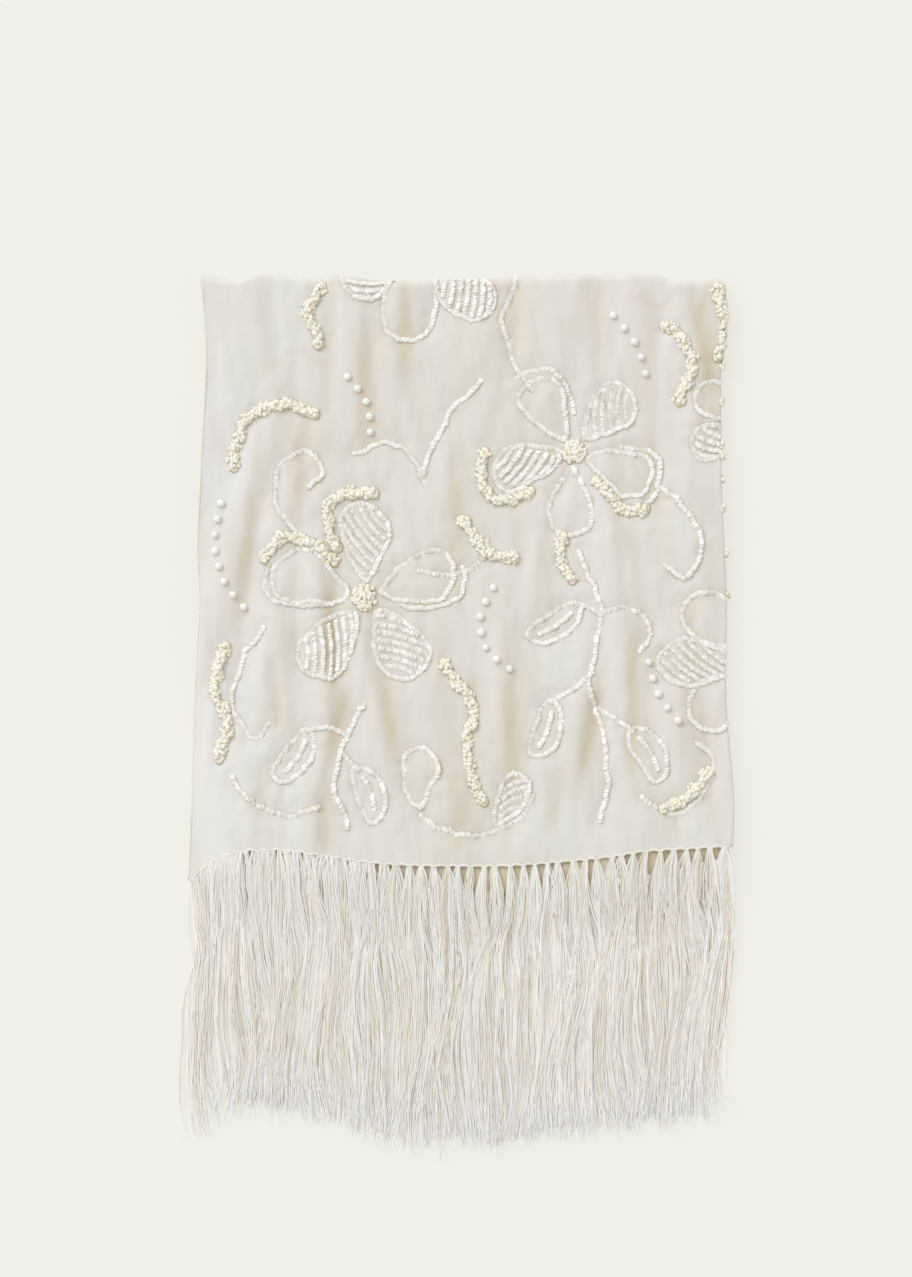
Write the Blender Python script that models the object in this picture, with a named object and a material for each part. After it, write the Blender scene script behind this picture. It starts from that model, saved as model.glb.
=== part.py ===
"""A sequined evening scarf of ivory silk, folded flat and lying on its back layers.

The scarf is folded lengthwise along its right side and then over at the head, so that one
quarter of it shows. +X runs across the folded width, +Y from the fringe to the head fold and
+Z up. All sizes are in metres. The origin is under the middle of the whole outline.
"""
import math

import bpy
from mathutils import Vector
from mathutils.bvhtree import BVHTree

# Driving sizes of the cloth and its fold
CLOTH_WALL = 0.0012
LAYER_GAP = 0.0004
STACK_TOP = 0.0088
SIDE_FOLD_RADIUS = 0.0014
HEAD_FOLD_RADIUS = 0.0052
HEAD_CORNER_START = 0.140
HEAD_CORNER_LENGTH = 0.024
HEAD_CORNER_STEP = 0.0022

# Outline of the top layer: place along the line first, then how far out the line runs there
FRONT_HEM = ((-0.1695, -0.1060), (-0.1575, -0.0966), (-0.1480, -0.0912), (-0.1380, -0.0877),
             (-0.1250, -0.0863), (-0.1050, -0.0868), (-0.0860, -0.0898), (-0.0450, -0.0950),
             (0.0000, -0.0961), (0.0310, -0.0958), (0.0900, -0.0908), (0.1140, -0.0870),
             (0.1370, -0.0856), (0.1680, -0.0838))
HEAD_LINE = ((-0.1610, 0.2700), (-0.1420, 0.2675), (-0.1230, 0.2706), (-0.0950, 0.2680),
             (-0.0770, 0.2693), (-0.0500, 0.2662), (0.0000, 0.2670), (0.0500, 0.2688),
             (0.0740, 0.2700), (0.1170, 0.2706), (0.1310, 0.2668), (0.1640, 0.2668))
LEFT_EDGE = ((-0.1055, -0.1695), (-0.0560, -0.1675), (0.0060, -0.1650), (0.0680, -0.1620),
             (0.0990, -0.1634), (0.1610, -0.1606), (0.2230, -0.1581), (0.2700, -0.1612))
RIGHT_FOLD = ((-0.0840, 0.1680), (-0.0560, 0.1688), (0.0060, 0.1640), (0.0680, 0.1642),
              (0.1300, 0.1614), (0.1770, 0.1606), (0.2230, 0.1612), (0.2540, 0.1640),
              (0.2640, 0.1632), (0.2700, 0.1610))

# Outline of the second layer, which shows below the first one
UNDER_HEM = ((-0.1370, -0.0925), (-0.1000, -0.0970), (-0.0620, -0.1010), (-0.0300, -0.1062),
             (0.0120, -0.1120), (0.0600, -0.1090), (0.0990, -0.1035), (0.1340, -0.0980),
             (0.1490, -0.0938), (0.1680, -0.0900))
UNDER_LEFT = ((-0.0925, -0.1370), (-0.0400, -0.1425), (0.0200, -0.1500), (0.0800, -0.1556),
              (0.1500, -0.1562), (0.2700, -0.1572))
STACK_HEAD = 0.2604

# Soft folds of the top layer: middle x and y, half length, half width, height, lean in degrees
FOLDS = (
    (-0.130, 0.248, 0.045, 0.011, 0.0016, 0),
    (-0.092, 0.215, 0.060, 0.012, 0.0012, 2),
    (-0.065, 0.229, 0.050, 0.010, 0.0019, 0),
    (-0.038, 0.243, 0.040, 0.010, 0.0021, -2),
    (0.012, 0.226, 0.052, 0.012, 0.0015, 0),
    (0.058, 0.226, 0.060, 0.012, 0.0017, -8),
    (0.108, 0.238, 0.050, 0.011, 0.0015, 3),
    (0.142, 0.165, 0.085, 0.012, 0.0021, 0),
    (-0.1385, 0.108, 0.090, 0.011, 0.0025, -15),
    (-0.114, 0.072, 0.080, 0.012, 0.0023, -3),
    (-0.087, 0.043, 0.075, 0.010, 0.0031, 3),
    (-0.055, 0.006, 0.055, 0.010, 0.0022, 11),
    (-0.020, 0.070, 0.070, 0.013, 0.0013, -3),
    (0.025, 0.012, 0.060, 0.011, 0.0018, 0),
    (0.073, -0.003, 0.055, 0.011, 0.0020, -12),
    (0.092, 0.096, 0.070, 0.011, 0.0024, 5),
    (0.102, 0.010, 0.060, 0.011, 0.0023, 0),
    (0.136, 0.012, 0.060, 0.010, 0.0018, -3),
    (-0.128, -0.050, 0.050, 0.010, 0.0018, -3),
    (-0.092, -0.060, 0.040, 0.010, 0.0020, 0),
    (-0.010, -0.056, 0.040, 0.010, 0.0014, 13),
    (0.048, -0.062, 0.035, 0.013, 0.0014, 0),
    (0.112, -0.052, 0.040, 0.013, 0.0013, 9),
)

# How the top layer sinks to the floor where no layers lie under it
OVERHANG_FALL = 0.022
OVERHANG_START = 0.005
FLOOR_CLEARANCE = 0.0005

# Grids of the two cloth pieces
FRONT_COLUMNS = 40
FRONT_ROWS = 24
SIDE_FOLD_STEPS = 5
HEAD_FOLD_STEPS = 6
STACK_COLUMNS = 16
STACK_ROWS_FROM_HEM = (0.0, 0.005, 0.012, 0.024, 0.046, 0.068, 0.090, 0.118, 0.146, 0.176,
                       0.210, 0.245, 0.280, 0.315, 0.345)

# The lower layers, top to bottom: height, and how far the edge steps in at the left, at the
# right fold and at the hem. A step in between two layers is the dark line between them.
LAYER_EDGES = (
    (0.0083, 0.0000, 0.0030, 0.0000),
    (0.0076, 0.0000, 0.0030, 0.0002),
    (0.0075, 0.0042, 0.0060, 0.0125),
    (0.0073, 0.0024, 0.0042, 0.0098),
    (0.0064, 0.0018, 0.0036, 0.0090),
    (0.0054, 0.0024, 0.0042, 0.0098),
    (0.00515, 0.0042, 0.0060, 0.0118),
    (0.0049, 0.0010, 0.0030, 0.0082),
    (0.0039, 0.0004, 0.0024, 0.0075),
    (0.0028, 0.0010, 0.0030, 0.0082),
    (0.0026, 0.0042, 0.0060, 0.0118),
    (0.0023, 0.0030, 0.0046, 0.0108),
    (0.0012, 0.0024, 0.0040, 0.0100),
    (0.0000, 0.0030, 0.0048, 0.0108),
)
LIP_DROOP = 0.0020
LIP_REACH = 0.014
STACK_NOSE_RADIUS = 0.0036
EDGE_ROUNDING = 0.0005

# Fringe: how long it is along x, tassels along each hem, locks in each tassel and the strip that carries them
FRONT_LENGTHS = ((-0.1680, 0.160), (-0.1350, 0.152), (-0.1000, 0.160), (-0.0500, 0.169),
                 (0.0200, 0.171), (0.0700, 0.165), (0.1700, 0.166))
UNDER_LENGTHS = ((-0.1400, 0.152), (0.0100, 0.154), (0.1700, 0.157))
FRONT_TASSELS = 43
FRONT_LOCKS = 3
UNDER_TASSELS = 40
UNDER_LOCKS = 2
STRIP_GAP = 0.0007
STRIP_DEPTH = 0.0018
ROOT_WIDTH = 0.0010
FRONT_STATIONS = (0.020, 0.052, 0.105)
UNDER_STATIONS = (0.014, 0.034, 0.090)
SPREAD_LENGTH = 0.050
LOCK_THICKNESS = 0.0015
UNDER_REST = 0.0004
FRONT_REST = 0.0024
CORNER_REST = 0.0006
FRINGE_LEFT = ((0.0, -0.1675), (0.060, -0.1655), (0.120, -0.1660), (0.165, -0.1665))
FRINGE_RIGHT = ((0.0, 0.1660), (0.060, 0.1655), (0.120, 0.1600), (0.165, 0.1605))
UNDER_FRINGE_LEFT = ((0.0, -0.1340), (0.060, -0.1360), (0.165, -0.1400))
UNDER_FRINGE_RIGHT = ((0.0, 0.1665), (0.060, 0.1670), (0.120, 0.1615), (0.165, 0.1620))
FRONT_SETTLE = 0.050
UNDER_SETTLE = 0.034
ROOT_RUN = 0.004
CORNER_X = -0.153
CORNER_WIDTH = 0.010
TIP_WIDTH_SHARE = 0.55
TIP_THICKNESS_SHARE = 0.6
LOCK_WIDTH_SHARE = 0.40
SWAY = 0.0028
SWAY_START = 0.060
SWAY_LENGTH = 0.150
SWAY_WIDTH = 0.083
TIP_SCATTER = 0.004

# Embroidery: sequin rope and ruched sequin trim
ROPE_WIDTH = 0.0036
ROPE_HEIGHT = 0.0016
RUCHE_WIDTH = 0.0085
RUCHE_HEIGHT = 0.0034
ROPE_STEP = 0.0062
REST_GAP = 0.00035
PETAL_FOOT_SHARE = 0.34
PETAL_FULLNESS = 1.25
PETAL_RIPPLE = 0.05
LEAF_CURVE = 0.10
# Flowers: centre x and y, petals, petal length and width, gap at the heart, turn in degrees
FLOWERS = (
    ("rose", -0.060, 0.070, 5, 0.047, 0.033, 0.011, 18),
    ("daisy", 0.070, 0.160, 5, 0.041, 0.028, 0.010, 50),
)
# Leaves: foot x and y, direction in degrees, length, width
LEAVES = (
    ("leaf_1", -0.094, -0.012, 236, 0.036, 0.016),
    ("leaf_2", -0.064, -0.036, 288, 0.034, 0.015),
    ("leaf_3", 0.072, 0.066, 214, 0.037, 0.016),
    ("leaf_4", 0.056, 0.006, 250, 0.036, 0.016),
    ("leaf_5", 0.105, -0.012, 300, 0.036, 0.017),
)
# Stems and trims: points of a smooth line
STEMS = (
    ("stem_1", ((-0.060, 0.004), (-0.072, -0.020), (-0.078, -0.048), (-0.070, -0.072))),
    ("stem_2", ((0.072, 0.098), (0.086, 0.060), (0.080, 0.020), (0.090, -0.030),
                (0.086, -0.068))),
    ("stem_3", ((0.012, 0.204), (-0.012, 0.178), (-0.022, 0.146))),
)
RUCHES = (
    ("ruche_1", ((-0.140, 0.150), (-0.134, 0.176), (-0.112, 0.190), (-0.090, 0.182))),
    ("ruche_2", ((-0.010, 0.030), (0.006, 0.004), (0.004, -0.030), (0.014, -0.056))),
    ("ruche_3", ((0.126, 0.238), (0.142, 0.216), (0.136, 0.190))),
    ("ruche_4", ((0.000, 0.118), (0.016, 0.098), (0.034, 0.094))),
)


def clear_scene():
    for old in list(bpy.data.objects):
        bpy.data.objects.remove(old, do_unlink=True)


def cloth_material(name, colour, roughness):
    material = bpy.data.materials.new(name)
    material.use_nodes = True
    shader = material.node_tree.nodes["Principled BSDF"]
    shader.inputs["Base Color"].default_value = (*colour, 1.0)
    shader.inputs["Roughness"].default_value = roughness
    shader.inputs["Metallic"].default_value = 0.0
    return material


def make_solid(name, points, faces, material):
    mesh = bpy.data.meshes.new(name)
    mesh.from_pydata(points, [], faces)
    mesh.validate()
    mesh.materials.append(material)
    mesh.shade_smooth()
    mesh.set_sharp_from_angle(angle=math.radians(50))
    solid = bpy.data.objects.new(name, mesh)
    bpy.context.scene.collection.objects.link(solid)
    return solid


def slope_at(line, k):
    before, after = line[max(k - 1, 0)], line[min(k + 1, len(line) - 1)]
    return (after[1] - before[1]) / (after[0] - before[0])


def through(line, at):
    """The value at one place of a smooth curve through (place, value) points."""
    if at <= line[0][0]:
        return line[0][1]
    if at >= line[-1][0]:
        return line[-1][1]
    k = next(i for i in range(len(line) - 1) if at <= line[i + 1][0])
    (start, low), (end, high) = line[k], line[k + 1]
    span = end - start
    t = (at - start) / span
    rise = 3 * t * t - 2 * t * t * t
    leave = (t ** 3 - 2 * t * t + t) * span * slope_at(line, k)
    arrive = (t ** 3 - t * t) * span * slope_at(line, k + 1)
    return low + (high - low) * rise + leave + arrive


def mix(a, b, share):
    return a + (b - a) * share


def smooth_step(t):
    t = min(1.0, max(0.0, t))
    return t * t * (3 - 2 * t)


def scatter(index, salt):
    """A fixed number from -1 to 1 that looks random and is the same each time."""
    wave = math.sin(index * 12.9898 + salt * 78.233) * 43758.5453
    return 2 * (wave - math.floor(wave)) - 1


def fold_height(x, y):
    """How far the soft folds lift the top layer."""
    height = 0.0
    for fold_x, fold_y, half_length, half_width, rise, lean in FOLDS:
        turn = math.radians(lean)
        along = (y - fold_y) * math.cos(turn) - (x - fold_x) * math.sin(turn)
        across = (x - fold_x) * math.cos(turn) + (y - fold_y) * math.sin(turn)
        fade = math.exp(-(along / half_length) ** 4)
        height = max(height, rise * fade * math.exp(-(across / half_width) ** 2))
    return height


def top_layer_underside(x, y):
    """Height of the top layer's lower face: over the stack, or sinking to the floor beside it."""
    beside = through(UNDER_LEFT, y) - x - OVERHANG_START
    held = 1 - smooth_step(beside / OVERHANG_FALL)
    over_stack = STACK_TOP + LAYER_GAP
    return FLOOR_CLEARANCE + (over_stack - FLOOR_CLEARANCE) * held + fold_height(x, y) * held


def front_place(across, up):
    """Plan position on the flat part of the top layer, from shares of its width and length."""
    middle_y = mix(through(FRONT_HEM, 0.0), through(HEAD_LINE, 0.0), up)
    x = mix(through(LEFT_EDGE, middle_y), through(RIGHT_FOLD, middle_y), across)
    for _ in range(2):
        head = through(HEAD_LINE, x) - HEAD_FOLD_RADIUS
        y = mix(through(FRONT_HEM, x), head, up)
        fold_middle = through(RIGHT_FOLD, y) - SIDE_FOLD_RADIUS
        x = mix(through(LEFT_EDGE, y), fold_middle, across)
    return x, y


def front_rows():
    """Rows of the top layer from the hem to the end of the head fold: share of length and turn."""
    rows = [(j / FRONT_ROWS, 0.0) for j in range(FRONT_ROWS + 1)]
    turns = [math.pi * k / HEAD_FOLD_STEPS for k in range(1, HEAD_FOLD_STEPS + 1)]
    return rows + [(1.0, turn) for turn in turns]


def front_section(up, head_turn):
    """Outer and inner points across the top layer at one row, with the fold at its right side."""
    outer, inner = [], []
    out_of_cloth = Vector((0.0, math.sin(head_turn), math.cos(head_turn)))
    to_right = Vector((1.0, 0.0, 0.0))
    wall = CLOTH_WALL
    for i in range(FRONT_COLUMNS + 1):
        x, y = front_place(i / FRONT_COLUMNS, up)
        top = top_layer_underside(x, y) + wall
        bend = (1 + math.cos(head_turn)) / 2
        reach = math.sin(head_turn)
        corner = smooth_step((x - HEAD_CORNER_START) / HEAD_CORNER_LENGTH)
        x -= HEAD_CORNER_STEP * (1 - bend) * corner
        outer.append(Vector((x, y + HEAD_FOLD_RADIUS * reach, top * bend)))
        inner_height = wall + (top - 2 * wall) * bend
        inner.append(Vector((x, y + (HEAD_FOLD_RADIUS - wall) * reach, inner_height)))
    last_outer, last_inner = outer[-1].copy(), inner[-1].copy()
    small = SIDE_FOLD_RADIUS - wall
    for k in range(1, SIDE_FOLD_STEPS + 1):
        turn = math.pi * k / SIDE_FOLD_STEPS
        drop = 1 - math.cos(turn)
        outer.append(last_outer + to_right * SIDE_FOLD_RADIUS * math.sin(turn)
                     - out_of_cloth * SIDE_FOLD_RADIUS * drop)
        inner.append(last_inner + to_right * small * math.sin(turn)
                     - out_of_cloth * small * drop)
    return outer, inner


def wall_between(name, outer, inner, material):
    """A closed wall from two matching grids of points, given as rows."""
    rows, columns = len(outer), len(outer[0])
    points = [p for row in outer for p in row] + [p for row in inner for p in row]
    shift = rows * columns
    faces = []
    for j in range(rows - 1):
        for i in range(columns - 1):
            a, b = j * columns + i, j * columns + i + 1
            c, d = b + columns, a + columns
            faces.append((a, b, c, d))
            faces.append((a + shift, d + shift, c + shift, b + shift))
    rim = list(range(columns))
    rim += [j * columns + columns - 1 for j in range(1, rows)]
    rim += [(rows - 1) * columns + i for i in range(columns - 2, -1, -1)]
    rim += [j * columns for j in range(rows - 2, 0, -1)]
    for a, b in zip(rim, rim[1:] + rim[:1]):
        faces.append((b, a, a + shift, b + shift))
    return make_solid(name, points, faces, material)


def make_front_panel(material):
    outer, inner = [], []
    for up, head_turn in front_rows():
        outer_row, inner_row = front_section(up, head_turn)
        outer.append(outer_row)
        inner.append(inner_row)
    return wall_between("front_panel", outer, inner, material)


def head_step(height):
    """How far the lower layers step in at the head, to lie inside the round head fold."""
    above = height - HEAD_FOLD_RADIUS
    if height < CLOTH_WALL + LAYER_GAP:
        return STACK_NOSE_RADIUS + LAYER_GAP
    return STACK_NOSE_RADIUS - math.sqrt(max(0.0, STACK_NOSE_RADIUS ** 2 - above ** 2))


def stack_place(across, up, left, right, hem, head):
    """Plan position in the lower layers, with each side stepped in by its own amount."""
    middle_y = mix(through(UNDER_HEM, 0.0) + hem, STACK_HEAD - head, up)
    x = mix(through(UNDER_LEFT, middle_y) + left, through(RIGHT_FOLD, middle_y) - right, across)
    y = mix(through(UNDER_HEM, x) + hem, STACK_HEAD - head, up)
    return x, y


def lip_droop(from_hem):
    return LIP_DROOP * max(0.0, 1 - from_hem / LIP_REACH) ** 2


def make_folded_layers(material):
    """The lower layers as one solid: flat below, round at the head, stepped at its edges."""
    length = STACK_HEAD - through(UNDER_HEM, 0.0)
    ups = [d / length for d in STACK_ROWS_FROM_HEM] + [1.0]
    columns, rows = STACK_COLUMNS + 1, len(ups)
    rim = [(i, 0) for i in range(columns)]
    rim += [(columns - 1, j) for j in range(1, rows)]
    rim += [(i, rows - 1) for i in range(columns - 2, -1, -1)]
    rim += [(0, j) for j in range(rows - 2, 0, -1)]
    points, faces = [], []

    def grid(height, steps, droops):
        """Adds a full grid of points at one height and returns their numbers by place."""
        numbers = {}
        for j, up in enumerate(ups):
            for i in range(columns):
                x, y = stack_place(i / STACK_COLUMNS, up, *steps)
                from_hem = y - through(UNDER_HEM, x)
                numbers[i, j] = len(points)
                points.append((x, y, height - (lip_droop(from_hem) if droops else 0.0)))
        return numbers

    _, left, right, hem = LAYER_EDGES[0]
    top_steps = (left + EDGE_ROUNDING, right + EDGE_ROUNDING, hem + EDGE_ROUNDING,
                 head_step(STACK_TOP - EDGE_ROUNDING / 5))
    top = grid(STACK_TOP, top_steps, True)
    rings = [[top[place] for place in rim]]
    for height, left, right, hem in LAYER_EDGES[:-1]:
        ring = []
        for i, j in rim:
            x, y = stack_place(i / STACK_COLUMNS, ups[j], left, right, hem, head_step(height))
            from_hem = y - through(UNDER_HEM, x)
            ring.append(len(points))
            points.append((x, y, height - lip_droop(from_hem)))
        rings.append(ring)
    height, left, right, hem = LAYER_EDGES[-1]
    bottom = grid(height, (left, right, hem, head_step(height)), False)
    rings.append([bottom[place] for place in rim])

    for j in range(rows - 1):
        for i in range(columns - 1):
            faces.append((top[i, j], top[i + 1, j], top[i + 1, j + 1], top[i, j + 1]))
            faces.append((bottom[i, j], bottom[i, j + 1], bottom[i + 1, j + 1], bottom[i + 1, j]))
    for upper, lower in zip(rings, rings[1:]):
        for k in range(len(rim)):
            after = (k + 1) % len(rim)
            faces.append((upper[k], lower[k], lower[after], upper[after]))
    return make_solid("folded_layers", points, faces, material)


def sway(x, down):
    """Sideways drift of the fringe, the same for neighbours, so that no two locks cross."""
    grow = smooth_step(down / SWAY_START)
    turn = 2 * math.pi * (down / SWAY_LENGTH + x / SWAY_WIDTH)
    return SWAY * grow * (math.sin(turn) + 0.4 * math.sin(2.3 * turn + 1.0))


class Fringe:
    """One hem's fringe: where its locks start, how they spread, and how they lie."""

    def __init__(self, hem, lengths, tassels, locks, ends, stations, left, right, salt):
        self.hem, self.lengths, self.tassels, self.locks = hem, lengths, tassels, locks
        self.first, self.last = ends
        self.stations, self.left, self.right, self.salt = stations, left, right, salt

    def root_x(self, tassel, corner):
        """x of one side of a lock's root; corner counts the sides across a tassel."""
        middle = mix(self.first, self.last, (tassel + 0.5) / self.tassels)
        return middle + (corner - self.locks / 2) * ROOT_WIDTH

    def strand_x(self, number, down):
        """x of a lock's middle some way down the fringe."""
        tassel, lock = divmod(number, self.locks)
        root = self.root_x(tassel, lock + 0.5)
        share = (number + 0.5) / (self.tassels * self.locks)
        even = mix(through(self.left, down), through(self.right, down), share)
        return mix(root, even + sway(even, down), smooth_step(down / SPREAD_LENGTH))

    def half_width(self, number, down):
        total = self.tassels * self.locks
        here = self.strand_x(number, down)
        gaps = [abs(self.strand_x(n, down) - here)
                for n in (number - 1, number + 1) if 0 <= n < total]
        return LOCK_WIDTH_SHARE * min(gaps)

    def lock_length(self, number):
        tassel, lock = divmod(number, self.locks)
        length = through(self.lengths, self.root_x(tassel, lock + 0.5))
        return length + TIP_SCATTER * scatter(number, self.salt)


def make_fringe(name, fringe, strip_heights, lying_height, material):
    """A strip along the hem with its locks growing out of it, as one closed solid."""
    points, faces = [], []

    def add(x, y, z):
        points.append((x, y, z))
        return len(points) - 1

    stations = []
    for tassel in range(fringe.tassels):
        for corner in range(fringe.locks + 1):
            x = fringe.root_x(tassel, corner)
            low, high = strip_heights(x)
            back = through(fringe.hem, x) - STRIP_GAP
            front = back - STRIP_DEPTH
            stations.append((add(x, back, high), add(x, back, low), add(x, front, low),
                             add(x, front, high)))
    per_tassel = fringe.locks + 1
    first, last = stations[0], stations[-1]
    faces.append(first)
    faces.append(tuple(reversed(last)))
    for k in range(len(stations) - 1):
        back_high, back_low, front_low, front_high = stations[k]
        next_back_high, next_back_low, next_front_low, next_front_high = stations[k + 1]
        faces.append((back_low, back_high, next_back_high, next_back_low))
        faces.append((front_low, back_low, next_back_low, next_front_low))
        faces.append((back_high, front_high, next_front_high, next_back_high))
        tassel, corner = divmod(k, per_tassel)
        if corner == fringe.locks:
            faces.append((front_high, front_low, next_front_low, next_front_high))
            continue
        number = tassel * fringe.locks + corner
        hem_y = points[front_low][1]
        sections = []
        for down in (*fringe.stations, fringe.lock_length(number)):
            x = fringe.strand_x(number, down)
            half = fringe.half_width(number, down)
            thick = LOCK_THICKNESS
            if down > fringe.stations[-1]:
                half, thick = half * TIP_WIDTH_SHARE, thick * TIP_THICKNESS_SHARE
            base = lying_height(x, down, points[front_low][2])
            y = hem_y - down
            sections.append((add(x - half, y, base), add(x + half, y, base),
                             add(x, y, base + thick)))
        left, right, ridge = sections[0]
        faces.append((front_low, next_front_low, right, left))
        faces.append((next_front_low, next_front_high, ridge, right))
        faces.append((front_high, front_low, left, ridge))
        faces.append((next_front_high, front_high, ridge))
        for (l0, r0, t0), (l1, r1, t1) in zip(sections, sections[1:]):
            faces.append((l0, r0, r1, l1))
            faces.append((r0, t0, t1, r1))
            faces.append((t0, l0, l1, t1))
        faces.append(sections[-1])
    return make_solid(name, points, faces, material)


def make_front_fringe(material):
    ends = (FRONT_HEM[0][0] + 0.0010, FRONT_HEM[-1][0] - 0.0020)
    fringe = Fringe(FRONT_HEM, FRONT_LENGTHS, FRONT_TASSELS, FRONT_LOCKS, ends,
                    FRONT_STATIONS, FRINGE_LEFT, FRINGE_RIGHT, 1)

    def strip_heights(x):
        low = top_layer_underside(x, through(FRONT_HEM, x))
        return low, low + CLOTH_WALL

    def lying_height(x, down, root):
        rest = mix(CORNER_REST, FRONT_REST, smooth_step((x - CORNER_X) / CORNER_WIDTH))
        return mix(root, rest, smooth_step((down - ROOT_RUN) / FRONT_SETTLE))

    return make_fringe("front_fringe", fringe, strip_heights, lying_height, material)


def make_under_fringe(material):
    ends = (UNDER_HEM[0][0] + 0.0010, UNDER_HEM[-1][0] - 0.0030)
    fringe = Fringe(UNDER_HEM, UNDER_LENGTHS, UNDER_TASSELS, UNDER_LOCKS, ends,
                    UNDER_STATIONS, UNDER_FRINGE_LEFT, UNDER_FRINGE_RIGHT, 2)
    low_edge = LAYER_EDGES[1][0] - LIP_DROOP

    def strip_heights(_):
        return low_edge, low_edge + CLOTH_WALL

    def lying_height(_, down, root):
        return mix(root, UNDER_REST, smooth_step(down / UNDER_SETTLE))

    return make_fringe("under_fringe", fringe, strip_heights, lying_height, material)


def petal_outline(centre_x, centre_y, turn, length, width, heart, steps):
    """A rounded petal as a closed loop, narrow at the heart of the flower."""
    loop = []
    for k in range(steps):
        angle = 2 * math.pi * k / steps
        along = (1 - math.cos(angle)) / 2
        wide = math.sin(angle) * mix(PETAL_FOOT_SHARE, 1.0, along)
        ripple = 1 + PETAL_RIPPLE * math.sin(3 * angle)
        out = heart + length * along
        side = 0.5 * width * wide * ripple * PETAL_FULLNESS
        loop.append((centre_x + out * math.cos(turn) - side * math.sin(turn),
                     centre_y + out * math.sin(turn) + side * math.cos(turn)))
    return loop


def leaf_outline(foot_x, foot_y, turn, length, width, steps):
    """An almond leaf as a closed loop, pointed at both ends and a little curved."""
    loop = []
    for k in range(steps):
        angle = 2 * math.pi * k / steps
        out = length * (1 - math.cos(angle)) / 2
        side = 0.5 * width * math.sin(angle)
        side += LEAF_CURVE * length * math.sin(math.pi * out / length)
        loop.append((foot_x + out * math.cos(turn) - side * math.sin(turn),
                     foot_y + out * math.sin(turn) + side * math.cos(turn)))
    return loop


def smooth_line(points, step):
    """Evenly spaced points on a smooth curve through the given ones."""
    fine = []
    for k in range(len(points) - 1):
        before = Vector(points[max(k - 1, 0)])
        start, end = Vector(points[k]), Vector(points[k + 1])
        after = Vector(points[min(k + 2, len(points) - 1)])
        for n in range(20):
            t = n / 20
            fine.append(0.5 * (2 * start + (end - before) * t
                               + (2 * before - 5 * start + 4 * end - after) * t * t
                               + (3 * start - before - 3 * end + after) * t ** 3))
    fine.append(Vector(points[-1]))
    total = sum((b - a).length for a, b in zip(fine, fine[1:]))
    count = max(2, round(total / step))
    line, walked, k = [fine[0]], 0.0, 0
    for n in range(1, count):
        target = total * n / count
        while walked + (fine[k + 1] - fine[k]).length < target:
            walked += (fine[k + 1] - fine[k]).length
            k += 1
        share = (target - walked) / (fine[k + 1] - fine[k]).length
        line.append(fine[k].lerp(fine[k + 1], share))
    line.append(fine[-1])
    return [(p.x, p.y) for p in line]


class Panel:
    """The finished top layer, to lay trims on its own facets."""

    def __init__(self, solid):
        points = [v.co.copy() for v in solid.data.vertices]
        self.tree = BVHTree.FromPolygons(points, [tuple(p.vertices) for p in solid.data.polygons])

    def height(self, x, y):
        hit = self.tree.ray_cast(Vector((x, y, 1.0)), Vector((0.0, 0.0, -1.0)))[0]
        return hit.z


def make_trim(name, line, closed, widths, heights, panel, material):
    """A three-sided bar that lies on the top layer along a line."""
    points, faces = [], []
    count = len(line)
    for k, (x, y) in enumerate(line):
        before = line[(k - 1) % count] if closed or k > 0 else line[k]
        after = line[(k + 1) % count] if closed or k < count - 1 else line[k]
        run = Vector((after[0] - before[0], after[1] - before[1])).normalized()
        across = Vector((-run.y, run.x))
        half = widths[k % len(widths)] / 2
        near = ROPE_STEP / 2
        base = max(panel.height(x + run.x * a + across.x * b, y + run.y * a + across.y * b)
                   for a in (-near, 0.0, near) for b in (-half, 0.0, half)) + REST_GAP
        points.append((x - across.x * half, y - across.y * half, base))
        points.append((x + across.x * half, y + across.y * half, base))
        points.append((x, y, base + heights[k % len(heights)]))
    for k in range(count if closed else count - 1):
        a, b = 3 * k, 3 * ((k + 1) % count)
        faces.append((a, a + 1, b + 1, b))
        faces.append((a + 1, a + 2, b + 2, b + 1))
        faces.append((a + 2, a, b, b + 2))
    if not closed:
        last = 3 * (count - 1)
        faces.append((0, 2, 1))
        faces.append((last, last + 1, last + 2))
    return make_solid(name, points, faces, material)


def make_embroidery(panel, rope_material, ruche_material):
    rope = ((ROPE_WIDTH,), (ROPE_HEIGHT,))
    lumps = ((RUCHE_WIDTH, RUCHE_WIDTH * 0.78), (RUCHE_HEIGHT, RUCHE_HEIGHT * 0.75))
    for name, x, y, petals, length, width, heart, start in FLOWERS:
        for n in range(petals):
            turn = math.radians(start) + 2 * math.pi * n / petals
            loop = petal_outline(x, y, turn, length, width, heart, 18)
            make_trim(f"{name}_petal_{n + 1}", loop, True, *rope, panel, rope_material)
    for name, x, y, turn, length, width in LEAVES:
        loop = leaf_outline(x, y, math.radians(turn), length, width, 14)
        make_trim(name, loop, True, *rope, panel, rope_material)
    for name, points in STEMS:
        line = smooth_line(points, ROPE_STEP)
        make_trim(name, line, False, *rope, panel, rope_material)
    for name, points in RUCHES:
        line = smooth_line(points, ROPE_STEP)
        make_trim(name, line, False, *lumps, panel, ruche_material)


def centre_over_origin():
    """Moves all points so that the middle of the whole outline is over the origin."""
    solids = list(bpy.context.scene.objects)
    corners = [v.co for solid in solids for v in solid.data.vertices]
    middle_x = (min(c.x for c in corners) + max(c.x for c in corners)) / 2
    middle_y = (min(c.y for c in corners) + max(c.y for c in corners)) / 2
    for solid in solids:
        for vertex in solid.data.vertices:
            vertex.co.x -= middle_x
            vertex.co.y -= middle_y


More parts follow.
